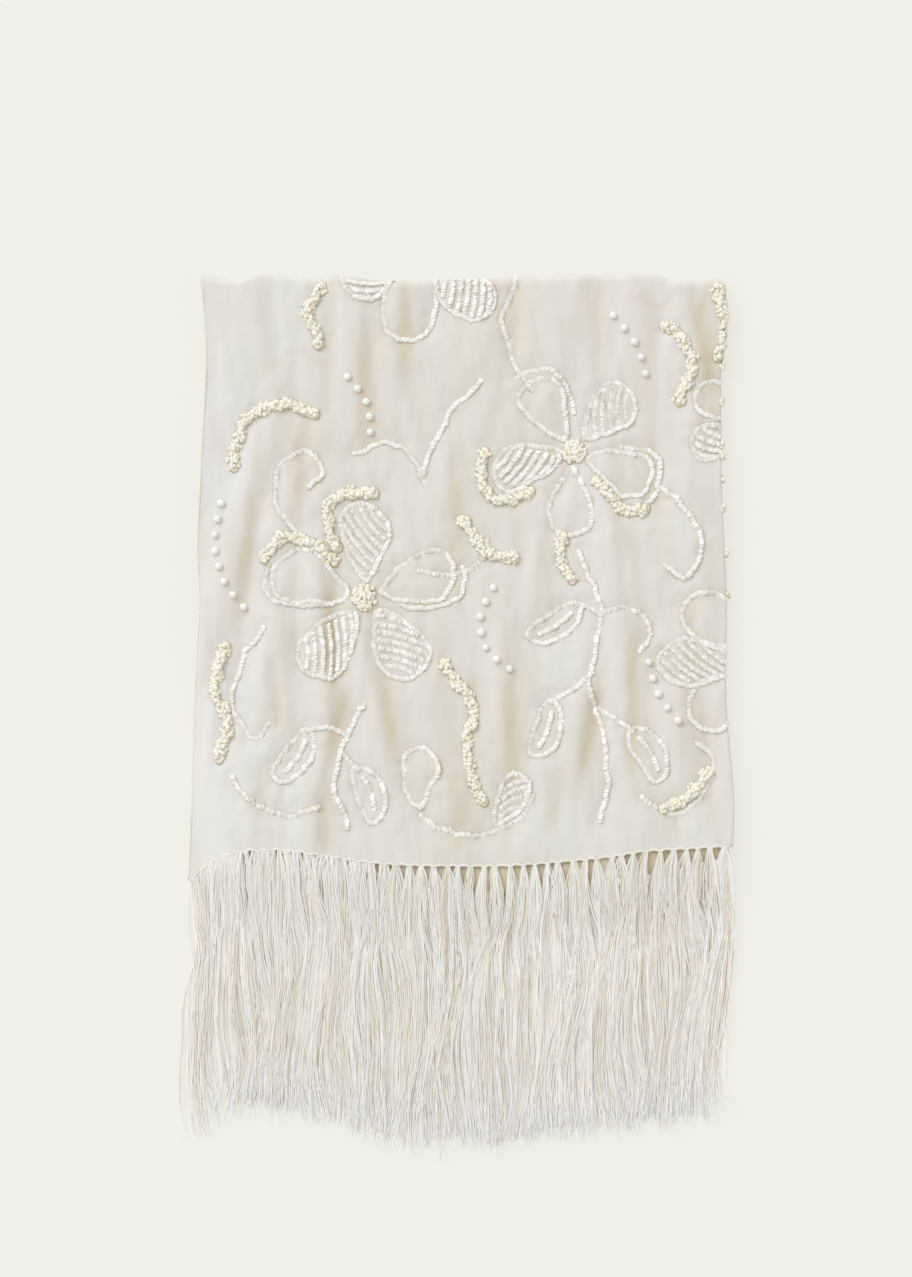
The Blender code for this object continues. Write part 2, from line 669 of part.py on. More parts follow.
def main():
    clear_scene()
    silk = cloth_material("ivory silk", (0.72, 0.68, 0.61), 0.55)
    inner_silk = cloth_material("ivory silk, lower layers", (0.66, 0.62, 0.54), 0.6)
    thread = cloth_material("silk fringe thread", (0.74, 0.71, 0.65), 0.45)
    sequin = cloth_material("pearl white sequins", (0.83, 0.81, 0.75), 0.25)
    ruched = cloth_material("ruched cream sequins", (0.80, 0.75, 0.64), 0.3)
    panel = Panel(make_front_panel(silk))
    make_folded_layers(inner_silk)
    make_front_fringe(thread)
    make_under_fringe(thread)
    make_embroidery(panel, sequin, ruched)
    centre_over_origin()


main()
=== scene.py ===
# %% [markdown]
# # A folded evening scarf with sequin flowers
#
# The scarf is ivory silk, folded lengthwise along its right side, then over at the head, and laid
# flat so that one quarter shows. A plain model gives its size and where each piece lies. This
# lesson dresses it: thin cloth with soft folds, a knotted fringe of thousands of threads, and
# embroidery of small pearly sequins.
#
# We start by loading the plain model.

import math

import bpy
import numpy as np
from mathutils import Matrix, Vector, kdtree, noise


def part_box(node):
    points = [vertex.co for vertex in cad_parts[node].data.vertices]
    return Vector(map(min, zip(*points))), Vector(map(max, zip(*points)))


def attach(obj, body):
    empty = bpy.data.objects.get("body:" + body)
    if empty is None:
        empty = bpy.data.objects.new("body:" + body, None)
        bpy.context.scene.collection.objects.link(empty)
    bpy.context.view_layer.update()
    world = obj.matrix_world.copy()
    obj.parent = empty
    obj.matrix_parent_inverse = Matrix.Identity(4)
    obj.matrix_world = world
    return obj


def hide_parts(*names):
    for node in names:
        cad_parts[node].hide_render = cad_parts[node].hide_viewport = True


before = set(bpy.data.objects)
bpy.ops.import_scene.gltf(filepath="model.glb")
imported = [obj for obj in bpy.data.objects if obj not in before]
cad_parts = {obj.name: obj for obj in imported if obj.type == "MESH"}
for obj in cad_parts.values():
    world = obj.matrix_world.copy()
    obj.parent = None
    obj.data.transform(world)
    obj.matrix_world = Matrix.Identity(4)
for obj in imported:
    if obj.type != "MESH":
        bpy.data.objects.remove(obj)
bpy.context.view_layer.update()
print(f"The plain scarf has {len(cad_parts)} pieces")

# %% [markdown]
# ## Lines of the cloth
#
# A folded scarf is not a rectangle: its hem sags, its fold wanders. Each side is a smooth curve
# through a few points, the place along it first and how far out it runs second. Lists of points
# and folds are in millimetres and degrees, and everything else is in metres.

# %% Smooth curves through a few points
MM = 1000


def smooth_curve(line):
    """A function that gives the value at any place of a smooth curve through (place, value)."""
    places, values = np.array(line, dtype=float).T / MM
    ahead = np.append(np.arange(1, len(places)), len(places) - 1)
    behind = np.insert(np.arange(len(places) - 1), 0, 0)
    slopes = (values[ahead] - values[behind]) / (places[ahead] - places[behind])

    def value(at):
        at = np.clip(at, places[0], places[-1])
        k = np.clip(np.searchsorted(places, at, side="right") - 1, 0, len(places) - 2)
        span = places[k + 1] - places[k]
        t = (at - places[k]) / span
        rise = 3 * t ** 2 - 2 * t ** 3
        leave = (t ** 3 - 2 * t ** 2 + t) * span * slopes[k]
        arrive = (t ** 3 - t ** 2) * span * slopes[k + 1]
        return values[k] + (values[k + 1] - values[k]) * rise + leave + arrive

    return value


def mix(a, b, share):
    return a + (b - a) * share


def ease(t):
    """Goes from 0 to 1 with soft ends."""
    t = np.clip(t, 0.0, 1.0)
    return t * t * (3 - 2 * t)


front_hem = smooth_curve((
    (-169.5, -106), (-157.5, -96.6), (-148, -91.2), (-138, -87.7), (-125, -86.3), (-105, -86.8),
    (-86, -89.8), (-45, -95), (0, -96.1), (31, -95.8), (90, -90.8), (114, -87), (137, -85.6),
    (168, -83.8)))
head_line = smooth_curve((
    (-161, 270), (-142, 267.5), (-123, 270.6), (-95, 268), (-77, 269.3), (-50, 266.2), (0, 267),
    (50, 268.8), (74, 270), (117, 270.6), (131, 266.8), (164, 266.8)))
left_edge = smooth_curve((
    (-105.5, -169.5), (-56, -167.5), (6, -165), (68, -162), (99, -163.4), (161, -160.6),
    (223, -158.1), (270, -161.2)))
right_fold = smooth_curve((
    (-84, 168), (-56, 168.8), (6, 164), (68, 164.2), (130, 161.4), (177, 160.6), (223, 161.2),
    (254, 164), (264, 163.2), (270, 161)))
under_hem = smooth_curve((
    (-137, -92.5), (-100, -97), (-62, -101), (-30, -106.2), (12, -112), (60, -109), (99, -103.5),
    (134, -98), (149, -93.8), (168, -90)))
under_left = smooth_curve((
    (-92.5, -137), (-40, -142.5), (20, -150), (80, -155.6), (150, -156.2), (270, -157.2)))
print("Drew six outline curves")

# %% [markdown]
# These curves were measured on the scarf before it was centred over the origin, so everything is
# modelled there and moved once at the end. The move is the difference between the model's own
# top layer and our curves.

# %% From the drawing to the model
CLOTH_WALL = 0.0012
SIDE_FOLD_RADIUS = 0.0014
HEAD_FOLD_RADIUS = 0.0052
STACK_TOP = 0.0088
LAYER_GAP = 0.0004

panel_low, panel_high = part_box("front_panel")
across_head = np.linspace(-0.16, 0.16, 400)
down_left = np.linspace(-0.10, 0.26, 400)
move_x = panel_low.x - left_edge(down_left).min()
move_y = panel_high.y - head_line(across_head).max()
HERE = np.array((move_x, move_y, 0.0))
print(f"The drawing moves by {move_x * MM:.1f} and {move_y * MM:.1f} mm")

# %% [markdown]
# ## Folds of the top layer
#
# Silk that has been folded and stroked flat keeps long soft ridges, about as wide as a finger and
# 1 to 3 mm high, and narrower creases between them. They run mostly from head to hem, lean a
# little, and fade out. A bell curve across and a flatter one along gives each its shape. We take
# the highest ridge at each spot instead of the sum, so crossing ridges don't pile up.

# %% Ridges and creases
# Columns: x, y, half length, half width, height, lean
RIDGES = (
    (-130, 248, 45, 11, 1.6, 0), (-92, 215, 60, 12, 1.2, 2), (-65, 229, 50, 10, 1.9, 0),
    (-38, 243, 40, 10, 2.1, -2), (12, 226, 52, 12, 1.5, 0), (58, 226, 60, 12, 1.7, -8),
    (108, 238, 50, 11, 1.5, 3), (142, 165, 85, 12, 2.1, 0), (-138.5, 108, 90, 11, 2.5, -15),
    (-114, 72, 80, 12, 2.3, -3), (-87, 43, 75, 10, 3.1, 3), (-55, 6, 55, 10, 2.2, 11),
    (-20, 70, 70, 13, 1.3, -3), (25, 12, 60, 11, 1.8, 0), (73, -3, 55, 11, 2, -12),
    (92, 96, 70, 11, 2.4, 5), (102, 10, 60, 11, 2.3, 0), (136, 12, 60, 10, 1.8, -3),
    (-128, -50, 50, 10, 1.8, -3), (-92, -60, 40, 10, 2, 0), (-10, -56, 40, 10, 1.4, 13),
    (48, -62, 35, 13, 1.4, 0), (112, -52, 40, 13, 1.3, 9))
# A crease is a ridge of negative height, or a slim ridge
CREASES = (
    (-129, 115, 60, 5, -0.9, -6), (-79, 46, 34, 5, -1.1, 2), (-76, -12, 24, 4.5, -0.9, -14),
    (-84, -68, 18, 5, -0.8, 4), (-115, 13, 24, 4.5, -0.9, 3), (-125, -52, 18, 5, -0.7, -4),
    (-44, 0, 24, 4.5, -1, 7), (-58, 195, 36, 5, -0.8, 0), (-34, 238, 30, 4.5, -0.8, 2),
    (9, 4, 20, 4.5, -0.7, 0), (32, -14, 42, 5, -0.9, 2), (81, -10, 28, 4.5, -1, -10),
    (106, 6, 50, 5, -0.9, 1), (142, 41, 30, 4.5, -0.8, -2), (152, 224, 34, 5.5, -0.9, 13),
    (-150, 10, 70, 3.5, 0.7, -9), (-158, -30, 50, 3, 0.6, -5), (-108, 236, 26, 4, 0.6, 3),
    (-79, 245, 22, 3.5, -0.5, -2), (33, 240, 28, 4, -0.6, -3), (83, 236, 30, 4, -0.6, 4),
    (128, 215, 26, 3.5, 0.6, -5), (-2, 128, 40, 4.5, -0.6, 5), (44, 88, 36, 4, 0.6, -6),
    (120, 138, 38, 4.5, -0.7, 6), (-98, 150, 36, 4.5, -0.7, -5), (-30, 160, 30, 3.5, 0.5, 8),
    (60, -52, 22, 4, -0.6, -7), (152, -30, 44, 4, -0.6, 4), (0, -70, 20, 4.5, -0.6, -10),
    (-104, -58, 20, 3.5, 0.6, 6), (132, -62, 18, 4, -0.5, 12))


def bells(table, x, y):
    """The height of each ridge of the table at each place, one layer for each ridge."""
    for *sizes, lean in table:
        ridge_x, ridge_y, half_length, half_width, height = np.array(sizes) / MM
        turn = math.radians(lean)
        along = (y - ridge_y) * math.cos(turn) - (x - ridge_x) * math.sin(turn)
        across = (x - ridge_x) * math.cos(turn) + (y - ridge_y) * math.sin(turn)
        yield height * np.exp(-(along / half_length) ** 4 - (across / half_width) ** 2)


def fold_height(x, y):
    """The highest ridge at each place, and the creases on it."""
    highest = np.zeros(np.broadcast(x, y).shape)
    for bell in bells(RIDGES, x, y):
        highest = np.maximum(highest, bell)
    return highest + sum(bells(CREASES, x, y))


print(f"{len(RIDGES)} ridges and {len(CREASES)} creases")

# %% [markdown]
# Beside the folded layers the top layer hangs over and sinks to the table, at the left and most
# of all at the lower left corner, where it lies flat on it.

# %% How high the top layer lies
OVERHANG_START = 0.005
OVERHANG_FALL = 0.022
FLOOR_CLEARANCE = 0.0005
# The share of a fold's height that is left where the cloth lies on the table
FOLDS_ON_TABLE = 0.25


def held_up(x, y):
    """1 over the lower layers, going to 0 where the top layer has sunk to the table."""
    beside = under_left(y) - x - OVERHANG_START
    return 1 - ease(beside / OVERHANG_FALL)


def cloth_top(x, y):
    """Height of the top layer's upper face."""
    held = held_up(x, y)
    underside = mix(FLOOR_CLEARANCE, STACK_TOP + LAYER_GAP, held)
    return underside + fold_height(x, y) * mix(FOLDS_ON_TABLE, 1.0, held) + CLOTH_WALL


print(f"Height over the middle: {float(cloth_top(0.0, 0.1)) * MM:.1f} mm")

# %% [markdown]
# ## The embroidery, drawn flat
#
# The needlework is drawn first, because it pulls at the cloth. It is a plain garden motif: two
# open flowers with five petals, leaves, stems and tendrils in rope lines of overlapped sequins,
# ruched trim, and trails of single pearls. Every line is a list of points on the flat cloth, and
# the same formulas give the plain model its raised bars.

# %% Petals, leaves and smooth lines
PETAL_FOOT_SHARE = 0.34
PETAL_FULLNESS = 1.25
PETAL_RIPPLE = 0.05
LEAF_CURVE = 0.10


def placed(out, side, foot, turn):
    """Points that lie out along a direction and to its side, from a foot point."""
    x = foot[0] + out * math.cos(turn) - side * math.sin(turn)
    y = foot[1] + out * math.sin(turn) + side * math.cos(turn)
    return np.column_stack((x, y))


def petal(centre, turn, length, width, heart):
    """A closed petal outline that starts at the flower's heart."""
    angle = np.linspace(0, 2 * math.pi, 90)
    along = (1 - np.cos(angle)) / 2
    wide = np.sin(angle) * mix(PETAL_FOOT_SHARE, 1.0, along)
    ripple = 1 + PETAL_RIPPLE * np.sin(3 * angle)
    side = 0.5 * width * wide * ripple * PETAL_FULLNESS
    return placed(heart + length * along, side, centre, turn)


def leaf_vein(out, length):
    """How far a leaf's middle line bends to the side at each place along it."""
    return LEAF_CURVE * length * np.sin(math.pi * out / length)


def leaf(foot, turn, length, width):
    angle = np.linspace(0, 2 * math.pi, 70)
    out = length * (1 - np.cos(angle)) / 2
    return placed(out, 0.5 * width * np.sin(angle) + leaf_vein(out, length), foot, turn)


def smooth_line(points):
    """A fine curve through a few points."""
    points = np.array(points, dtype=float) / MM
    padded = np.vstack((points[:1], points, points[-1:]))
    t = np.linspace(0, 1, 24, endpoint=False)[:, None]
    runs = []
    for a, b, c, d in zip(padded, padded[1:], padded[2:], padded[3:]):
        runs.append(0.5 * (2 * b + (c - a) * t + (2 * a - 5 * b + 4 * c - d) * t ** 2
                           + (3 * b - a - 3 * c + d) * t ** 3))
    return np.vstack(runs + [points[-1:]])


def evenly(line, step):
    """Points along a line, evenly spaced about one step apart."""
    gaps = np.linalg.norm(np.diff(line, axis=0), axis=1)
    walked = np.insert(np.cumsum(gaps), 0, 0.0)
    count = max(2, round(walked[-1] / step) + 1)
    stops = np.linspace(0, walked[-1], count)
    return np.column_stack([np.interp(stops, walked, line[:, k]) for k in range(line.shape[1])])


print("Ready to draw petals, leaves and lines")

# %% The two flowers
PETALS = 5
FLOWERS = {
    "rose": dict(centre=(-0.060, 0.070), length=0.047, width=0.033, heart=0.011, start=18,
                 filled=(1, 3, 4)),
    "daisy": dict(centre=(0.070, 0.160), length=0.041, width=0.028, heart=0.010, start=50,
                  filled=(0, 2)),
}
HATCH_SPACING = 0.0047
HATCH_LEAN = math.radians(38)
HATCH_MARGIN = 0.0030
HATCH_BOW = 0.0012
HATCH_POINTS = 12
HAND_STEP = 0.0012
# Waves a metre and height of each noise by which a sewn line strays
STRAY = ((48.0, 0.0030), (140.0, 0.0014))


def hand_drawn(line, number):
    """The line as a hand sews it: it strays a little from the drawing."""
    line = evenly(line, HAND_STEP)
    along = np.gradient(line, axis=0)
    beside = np.column_stack((-along[:, 1], along[:, 0]))
    beside /= np.linalg.norm(beside, axis=1, keepdims=True)
    walked = HAND_STEP * np.arange(len(line))
    stray = sum(height * np.array([noise.noise((waves * w, 7.3 * number, 0.0)) for w in walked])
                for waves, height in STRAY)
    return line + beside * stray[:, None]


def hatching(outline, turn):
    """Slanting rows of sequins that fill an outline, from one side to the other."""
    lean = np.array(((math.cos(turn), -math.sin(turn)), (math.sin(turn), math.cos(turn))))
    local = outline @ lean
    nexts = np.roll(local, -1, axis=0)
    rows = []
    for height in np.arange(local[:, 1].min() + HATCH_SPACING, local[:, 1].max(), HATCH_SPACING):
        crosses = (local[:, 1] > height) != (nexts[:, 1] > height)
        a, b = local[crosses], nexts[crosses]
        places = a[:, 0] + (b[:, 0] - a[:, 0]) * (height - a[:, 1]) / (b[:, 1] - a[:, 1])
        start, end = places.min() + HATCH_MARGIN, places.max() - HATCH_MARGIN
        if end - start > HATCH_SPACING:
            run = np.linspace(start, end, HATCH_POINTS)
            bow = HATCH_BOW * np.sin(np.linspace(0, math.pi, HATCH_POINTS))
            rows.append(np.column_stack((run, height + bow)) @ lean.T)
    return rows


def petal_of(name, number, wider=0.0):
    """The direction and outline of a flower's petal, or of a wider one round it."""
    flower = FLOWERS[name]
    turn = math.radians(flower["start"]) + 2 * math.pi * number / PETALS
    return turn, petal(flower["centre"], turn, flower["length"] + wider / 2,
                       flower["width"] + wider, flower["heart"])


flower_ropes = {}
for name, flower in FLOWERS.items():
    ropes = []
    for n in range(PETALS):
        turn, outline = petal_of(name, n)
        ropes.append(hand_drawn(outline, 10 * flower["start"] + n))
        if n in flower["filled"]:
            ropes += hatching(outline, turn + HATCH_LEAN)
    flower_ropes[name] = ropes
print("Rope lines in each flower:", {name: len(ropes) for name, ropes in flower_ropes.items()})

# %% Leaves and stems
# Columns: x, y, direction, length, width
LEAVES = (
    (-94, -12, 236, 36, 16), (-64, -36, 288, 34, 15), (72, 66, 214, 37, 16), (56, 6, 250, 36, 16),
    (105, -12, 300, 36, 17))
STEMS = (
    ((-60, 4), (-72, -20), (-78, -48), (-70, -72)),
    ((72, 98), (86, 60), (80, 20), (90, -30), (86, -68)),
    ((12, 204), (-12, 178), (-22, 146)))
STALKS = (
    ((-72, -14), (-83, -10), (-94, -12)),
    ((-74, -26), (-69, -31), (-64, -36)),
    ((86, 60), (79, 64), (72, 66)),
    ((81, 24), (70, 14), (56, 6)),
    ((83, 2), (94, -4), (105, -12)))
VEIN_START, VEIN_END = 0.18, 0.80


def sewn(lines, number):
    """Smooth lines through the points of a table, as a hand sews them."""
    return [hand_drawn(smooth_line(points), number + n) for n, points in enumerate(lines)]


leaf_ropes = []
for x, y, lean, length, width in LEAVES:
    foot, turn, length = (x / MM, y / MM), math.radians(lean), length / MM
    leaf_ropes.append(hand_drawn(leaf(foot, turn, length, width / MM), lean))
    out = np.linspace(VEIN_START * length, VEIN_END * length, 16)
    leaf_ropes.append(placed(out, leaf_vein(out, length), foot, turn))
stem_ropes = sewn(STEMS, 500)
leaf_ropes += [smooth_line(points) for points in STALKS]
print(f"{len(leaf_ropes)} leaf lines, {len(stem_ropes)} stems")

# %% [markdown]
# The rest of the pattern is smaller: tendrils, parts of flowers that run over the two folds as
# the pattern goes on behind, ruched trim and pearls.

# %% Tendrils, cut flowers, ruched trim and pearls
TENDRILS = (
    ((-101, 110), (-114, 128), (-112, 150), (-96, 160), (-86, 148), (-94, 138)),
    ((44, 198), (30, 218), (26, 244), (34, 262), (36, 276)),
    ((122, 140), (140, 124), (148, 100), (138, 82), (126, 90)),
    ((-122, 52), (-136, 30), (-140, 2), (-128, -18), (-118, -8)),
    ((-26, -66), (-12, -74), (12, -76), (34, -68), (44, -52)),
    ((112, -52), (130, -62), (148, -54), (154, -32), (144, -20)),
    ((-22, 140), (-30, 158), (-48, 166), (-66, 160)),
    ((-26, 86), (-6, 84), (12, 92), (16, 106)),
    ((86, 60), (104, 62), (116, 50), (112, 36)),
    ((-140, -40), (-128, -58), (-106, -66), (-88, -60)))
# Petals of the partly hidden flowers: x and y of the flower's centre, direction, length, width,
# heart, and filled or not
CUT_PETALS = (
    (186, 30, 140, 52, 32, 8, False), (186, 30, 180, 56, 30, 8, True),
    (186, 30, 222, 50, 31, 8, False), (-22, 296, 216, 52, 32, 8, True),
    (-22, 296, 258, 60, 34, 8, False), (-22, 296, 304, 56, 32, 8, True),
    (182, 178, 152, 34, 22, 6, False), (182, 178, 204, 36, 23, 6, True),
    (-26, -60, 88, 34, 21, 2, False), (22, -72, 62, 34, 20, 2, True))
# Second outlines outside some petals: flower, petal number, how much wider in metres, and the
# share of the way round it where the line starts and ends
ECHOES = (("rose", 0, 0.011, 0.50, 0.86), ("rose", 2, 0.011, 0.14, 0.52),
          ("daisy", 1, 0.010, 0.46, 0.84), ("daisy", 4, 0.010, 0.20, 0.60))
RUCHED_ECHOES = (("rose", 2, 0.017, 0.52, 0.84), ("rose", 1, 0.016, 0.20, 0.55),
                 ("daisy", 4, 0.015, 0.60, 0.86), ("daisy", 2, 0.016, 0.24, 0.60))
RUCHES = (
    ((-140, 150), (-134, 176), (-112, 190), (-90, 182)),
    ((-10, 30), (6, 4), (4, -30), (14, -56)),
    ((126, 238), (142, 216), (136, 190)),
    ((0, 118), (16, 98), (34, 94)))
MORE_RUCHES = (
    ((158, 262), (163, 240), (158, 218)),
    ((-146, 40), (-152, 16), (-144, -8), (-148, -30)),
    ((64, 108), (60, 94), (68, 80)),
    ((-86, 262), (-94, 244), (-88, 226)),
    ((152, -36), (142, -52), (124, -60)))
PEARL_TRAILS = (
    ((-148, 128), (-152, 104), (-146, 80), (-134, 64)),
    ((-70, 206), (-58, 190), (-56, 172)),
    ((20, 76), (12, 58), (16, 38), (30, 26)),
    ((116, 30), (122, 10), (134, -6)),
    ((94, 244), (108, 226), (114, 208)))


def echo(name, number, wider, start, end):
    """A stretch of an outline outside a petal."""
    outline = petal_of(name, number, wider)[1]
    return outline[int(start * len(outline)):int(end * len(outline))]


tendril_ropes = sewn(TENDRILS, 600)
tendril_ropes += [hand_drawn(echo(*row), 650 + n) for n, row in enumerate(ECHOES)]
cut_ropes = []
for n, (x, y, lean, length, width, heart, filled) in enumerate(CUT_PETALS):
    turn = math.radians(lean)
    outline = petal((x / MM, y / MM), turn, length / MM, width / MM, heart / MM)
    cut_ropes.append(hand_drawn(outline, 700 + n))
    if filled:
        cut_ropes += hatching(outline, turn - HATCH_LEAN)
ruche_lines = sewn(RUCHES, 800)
more_ruche_lines = sewn(MORE_RUCHES, 850)
more_ruche_lines += [hand_drawn(echo(*row), 870 + n) for n, row in enumerate(RUCHED_ECHOES)]
pearl_lines = [smooth_line(points) for points in PEARL_TRAILS]
all_ropes = sum(flower_ropes.values(), []) + leaf_ropes + stem_ropes + tendril_ropes + cut_ropes
rope_length = sum(np.linalg.norm(np.diff(line, axis=0), axis=1).sum() for line in all_ropes)
print(f"{rope_length:.1f} m of sequin rope")

# %% [markdown]
# ## The cloth, with the pull of the stitches
#
# Stitched lines hold the cloth down and it puffs up softly between them. For every point of the
# cloth we need the distance to the nearest stitch, and a k-d tree finds it quickly. Two layers of
# fractal noise add what nobody would place by hand: long faint wrinkles all over, stretched from
# head to hem, and short puckers close to the stitches.

# %% Distance to the stitches
STITCH_STEP = 0.002


def nearest_finder(points):
    """A function that gives the distance from each place to the nearest of the points."""
    tree = kdtree.KDTree(len(points))
    for number, (x, y) in enumerate(points):
        tree.insert((x, y, 0.0), number)
    tree.balance()

    def distance(x, y):
        pairs = np.column_stack((np.ravel(x), np.ravel(y)))
        found = [tree.find((px, py, 0.0))[2] for px, py in pairs]
        return np.array(found).reshape(np.shape(x))

    return distance


stitched_lines = all_ropes + ruche_lines + more_ruche_lines
stitches = np.vstack([evenly(line, STITCH_STEP) for line in stitched_lines])
stitch_distance = nearest_finder(stitches)
print(f"{len(stitches)} stitch points")

# %% Puffs, wrinkles and puckers
PUFF_HEIGHT, PUFF_REACH = 0.0010, 0.0075
WRINKLE_HEIGHT, WRINKLE_WAVES = 0.00095, (80.0, 26.0)
PUCKER_HEIGHT, PUCKER_WAVES = 0.00085, (190.0, 130.0)
RELIEF_ON_TABLE = 0.35


def rough(x, y, waves, detail):
    """Fractal noise, stretched by its own number of waves a metre across and along."""
    spots = zip(np.ravel(x) * waves[0], np.ravel(y) * waves[1])
    values = [noise.fractal((u + 0.35 * v, v, 0.0), 0.9, 2.0, detail) for u, v in spots]
    return np.array(values).reshape(np.shape(x))


def puffed_top(x, y):
    """Height of the upper face, with puffs, wrinkles and puckers."""
    near = np.exp(-(stitch_distance(x, y) / PUFF_REACH) ** 2)
    puffs = PUFF_HEIGHT * (0.5 - near)
    wrinkles = WRINKLE_HEIGHT * rough(x, y, WRINKLE_WAVES, 3)
    puckers = PUCKER_HEIGHT * rough(x, y, PUCKER_WAVES, 2) * near
    relief = (puffs + wrinkles + puckers) * mix(RELIEF_ON_TABLE, 1.0, held_up(x, y))
    return cloth_top(x, y) + relief


print(f"Height over the middle: {float(puffed_top(0.0, 0.1)) * MM:.1f} mm")

# %% [markdown]
# ## A place on the cloth
#
# The top layer goes round two folds: the long fold at its right side and the head fold. This
# function takes flat places on the unfolded cloth and bends those past a fold line round it, so
# the same call makes the cloth and lays the embroidery on it. Embroidery that has gone round a
# fold and out of sight is left off, because it would press into the table.

# %% Bending flat places round the folds
SIDE_TURN_END = 0.95 * math.pi
HEAD_TURN_END = math.pi
CORNER_X, CORNER_RADIUS = 0.16, 0.0055


def side_fold_start(y):
    """Where the long fold starts to turn. It is rounded where it meets the head fold."""
    head_start = float(head_line(CORNER_X)) - HEAD_FOLD_RADIUS
    turn = np.clip((y - head_start) / HEAD_FOLD_RADIUS, 0, math.pi / 2)
    reach = np.minimum(y, head_start) + HEAD_FOLD_RADIUS * np.sin(turn)
    into = np.clip(1 - (head_start + HEAD_FOLD_RADIUS - reach) / CORNER_RADIUS, 0, 1)
    inset = CORNER_RADIUS * (1 - np.sqrt(1 - into ** 2))
    return right_fold(np.minimum(y, head_start)) - SIDE_FOLD_RADIUS - inset


def on_cloth(flat):
    """Points and outward directions on the top layer for flat (x, y) places."""
    flat = np.asarray(flat, dtype=float)
    x, y = flat[:, 0], flat[:, 1]
    head_start = head_line(x) - HEAD_FOLD_RADIUS
    side_start = side_fold_start(y)
    past_head = np.maximum(0.0, y - head_start)
    past_side = np.maximum(0.0, x - side_start)
    head_turn = np.minimum(past_head / HEAD_FOLD_RADIUS, HEAD_TURN_END)
    side_turn = np.minimum(past_side / SIDE_FOLD_RADIUS, SIDE_TURN_END)
    flat_x, flat_y = np.minimum(x, side_start), np.minimum(y, head_start)
    top = puffed_top(flat_x, flat_y)
    points = np.column_stack((
        flat_x + SIDE_FOLD_RADIUS * np.sin(side_turn),
        flat_y + HEAD_FOLD_RADIUS * np.sin(head_turn),
        top * (1 + np.cos(head_turn)) / 2
        - np.cos(head_turn) * SIDE_FOLD_RADIUS * (1 - np.cos(side_turn))))
    away = np.column_stack((
        np.sin(side_turn),
        np.sin(head_turn) * np.cos(side_turn),
        np.cos(head_turn) * np.cos(side_turn)))
    return points, away


SHOWN_TURN = 0.36 * math.pi


def in_sight(flat):
    """True for flat places that have not gone too far round a fold."""
    past_head = flat[:, 1] - head_line(flat[:, 0]) + HEAD_FOLD_RADIUS
    past_side = flat[:, 0] - side_fold_start(flat[:, 1])
    return (past_head < SHOWN_TURN * HEAD_FOLD_RADIUS) & (past_side < SHOWN_TURN * SIDE_FOLD_RADIUS)


outward = on_cloth([(0.0, 0.1), (0.17, 0.1), (0.0, 0.275)])[1]
print("Outward directions on the flat and on the two folds:", outward.round(2).tolist())

# %% [markdown]
# ## Colours and finishes
#
# Silk gauze is not one flat ivory. Its tint drifts from pinkish to greenish over a few
# centimetres, it looks warmer where more layers lie under it, and the pattern on the next layer
# shows through as a faint shadow. Up close there is the weave and a fine crinkle. All silk has
# the weave, the crinkle and the drift, so they are built once, as a node group.

# %% The woven silk group
def new_group(name, inputs, outputs):
    group = bpy.data.node_groups.new(name, "ShaderNodeTree")
    for socket_name, kind, value in inputs:
        socket = group.interface.new_socket(socket_name, in_out="INPUT", socket_type=kind)
        if value is not None:
            socket.default_value = value
    for socket_name, kind in outputs:
        group.interface.new_socket(socket_name, in_out="OUTPUT", socket_type=kind)
    return group, group.nodes.new("NodeGroupInput"), group.nodes.new("NodeGroupOutput")


def add_node(tree, kind, **settings):
    node = tree.nodes.new(kind)
    for key, value in settings.items():
        if key in node.inputs:
            node.inputs[key].default_value = value
        else:
            setattr(node, key, value)
    return node


WEAVE_WAVES, WEAVE_SHARE = 480.0, 0.12
CRINKLE_STRETCH = (1.0, 0.28, 1.0)


def woven_silk_group():
    """Heights of weave and crinkle, and a slow drift of tint, over a cloth."""
    group, given, made = new_group(
        "woven silk",
        [("Place", "NodeSocketVector", None), ("Crinkle Scale", "NodeSocketFloat", 150.0)],
        [("Height", "NodeSocketFloat"), ("Tint", "NodeSocketFloat")])
    link = group.links.new
    waves = []
    for direction in ("X", "Y"):
        wave = add_node(group, "ShaderNodeTexWave", bands_direction=direction, Scale=WEAVE_WAVES)
        link(given.outputs["Place"], wave.inputs["Vector"])
        waves.append(wave.outputs["Fac"])
    weave = add_node(group, "ShaderNodeMath", operation="MULTIPLY")
    link(waves[0], weave.inputs[0])
    link(waves[1], weave.inputs[1])
    stretch = add_node(group, "ShaderNodeMapping", Scale=CRINKLE_STRETCH)
    link(given.outputs["Place"], stretch.inputs["Vector"])
    crinkle = add_node(group, "ShaderNodeTexNoise", Detail=3.0, Roughness=0.55)
    link(stretch.outputs["Vector"], crinkle.inputs["Vector"])
    link(given.outputs["Crinkle Scale"], crinkle.inputs["Scale"])
    height = add_node(group, "ShaderNodeMath", operation="MULTIPLY_ADD")
    height.inputs[1].default_value = WEAVE_SHARE
    link(weave.outputs[0], height.inputs[0])
    link(crinkle.outputs["Fac"], height.inputs[2])
    link(height.outputs[0], made.inputs["Height"])
    drift = add_node(group, "ShaderNodeTexNoise", Scale=24.0, Detail=2.0)
    link(stretch.outputs["Vector"], drift.inputs["Vector"])
    link(drift.outputs["Fac"], made.inputs["Tint"])
    return group


woven_silk = woven_silk_group()
print("Built the node group", woven_silk.name)

# %% [markdown]
# Each silk finish takes its colour from the shade, a number that the cloth's points will carry:
# a colour ramp turns it from pale over plain to tan. The drift multiplies that colour by a
# pinkish or a greenish white. Sheen gives the soft glint of fine fibres.

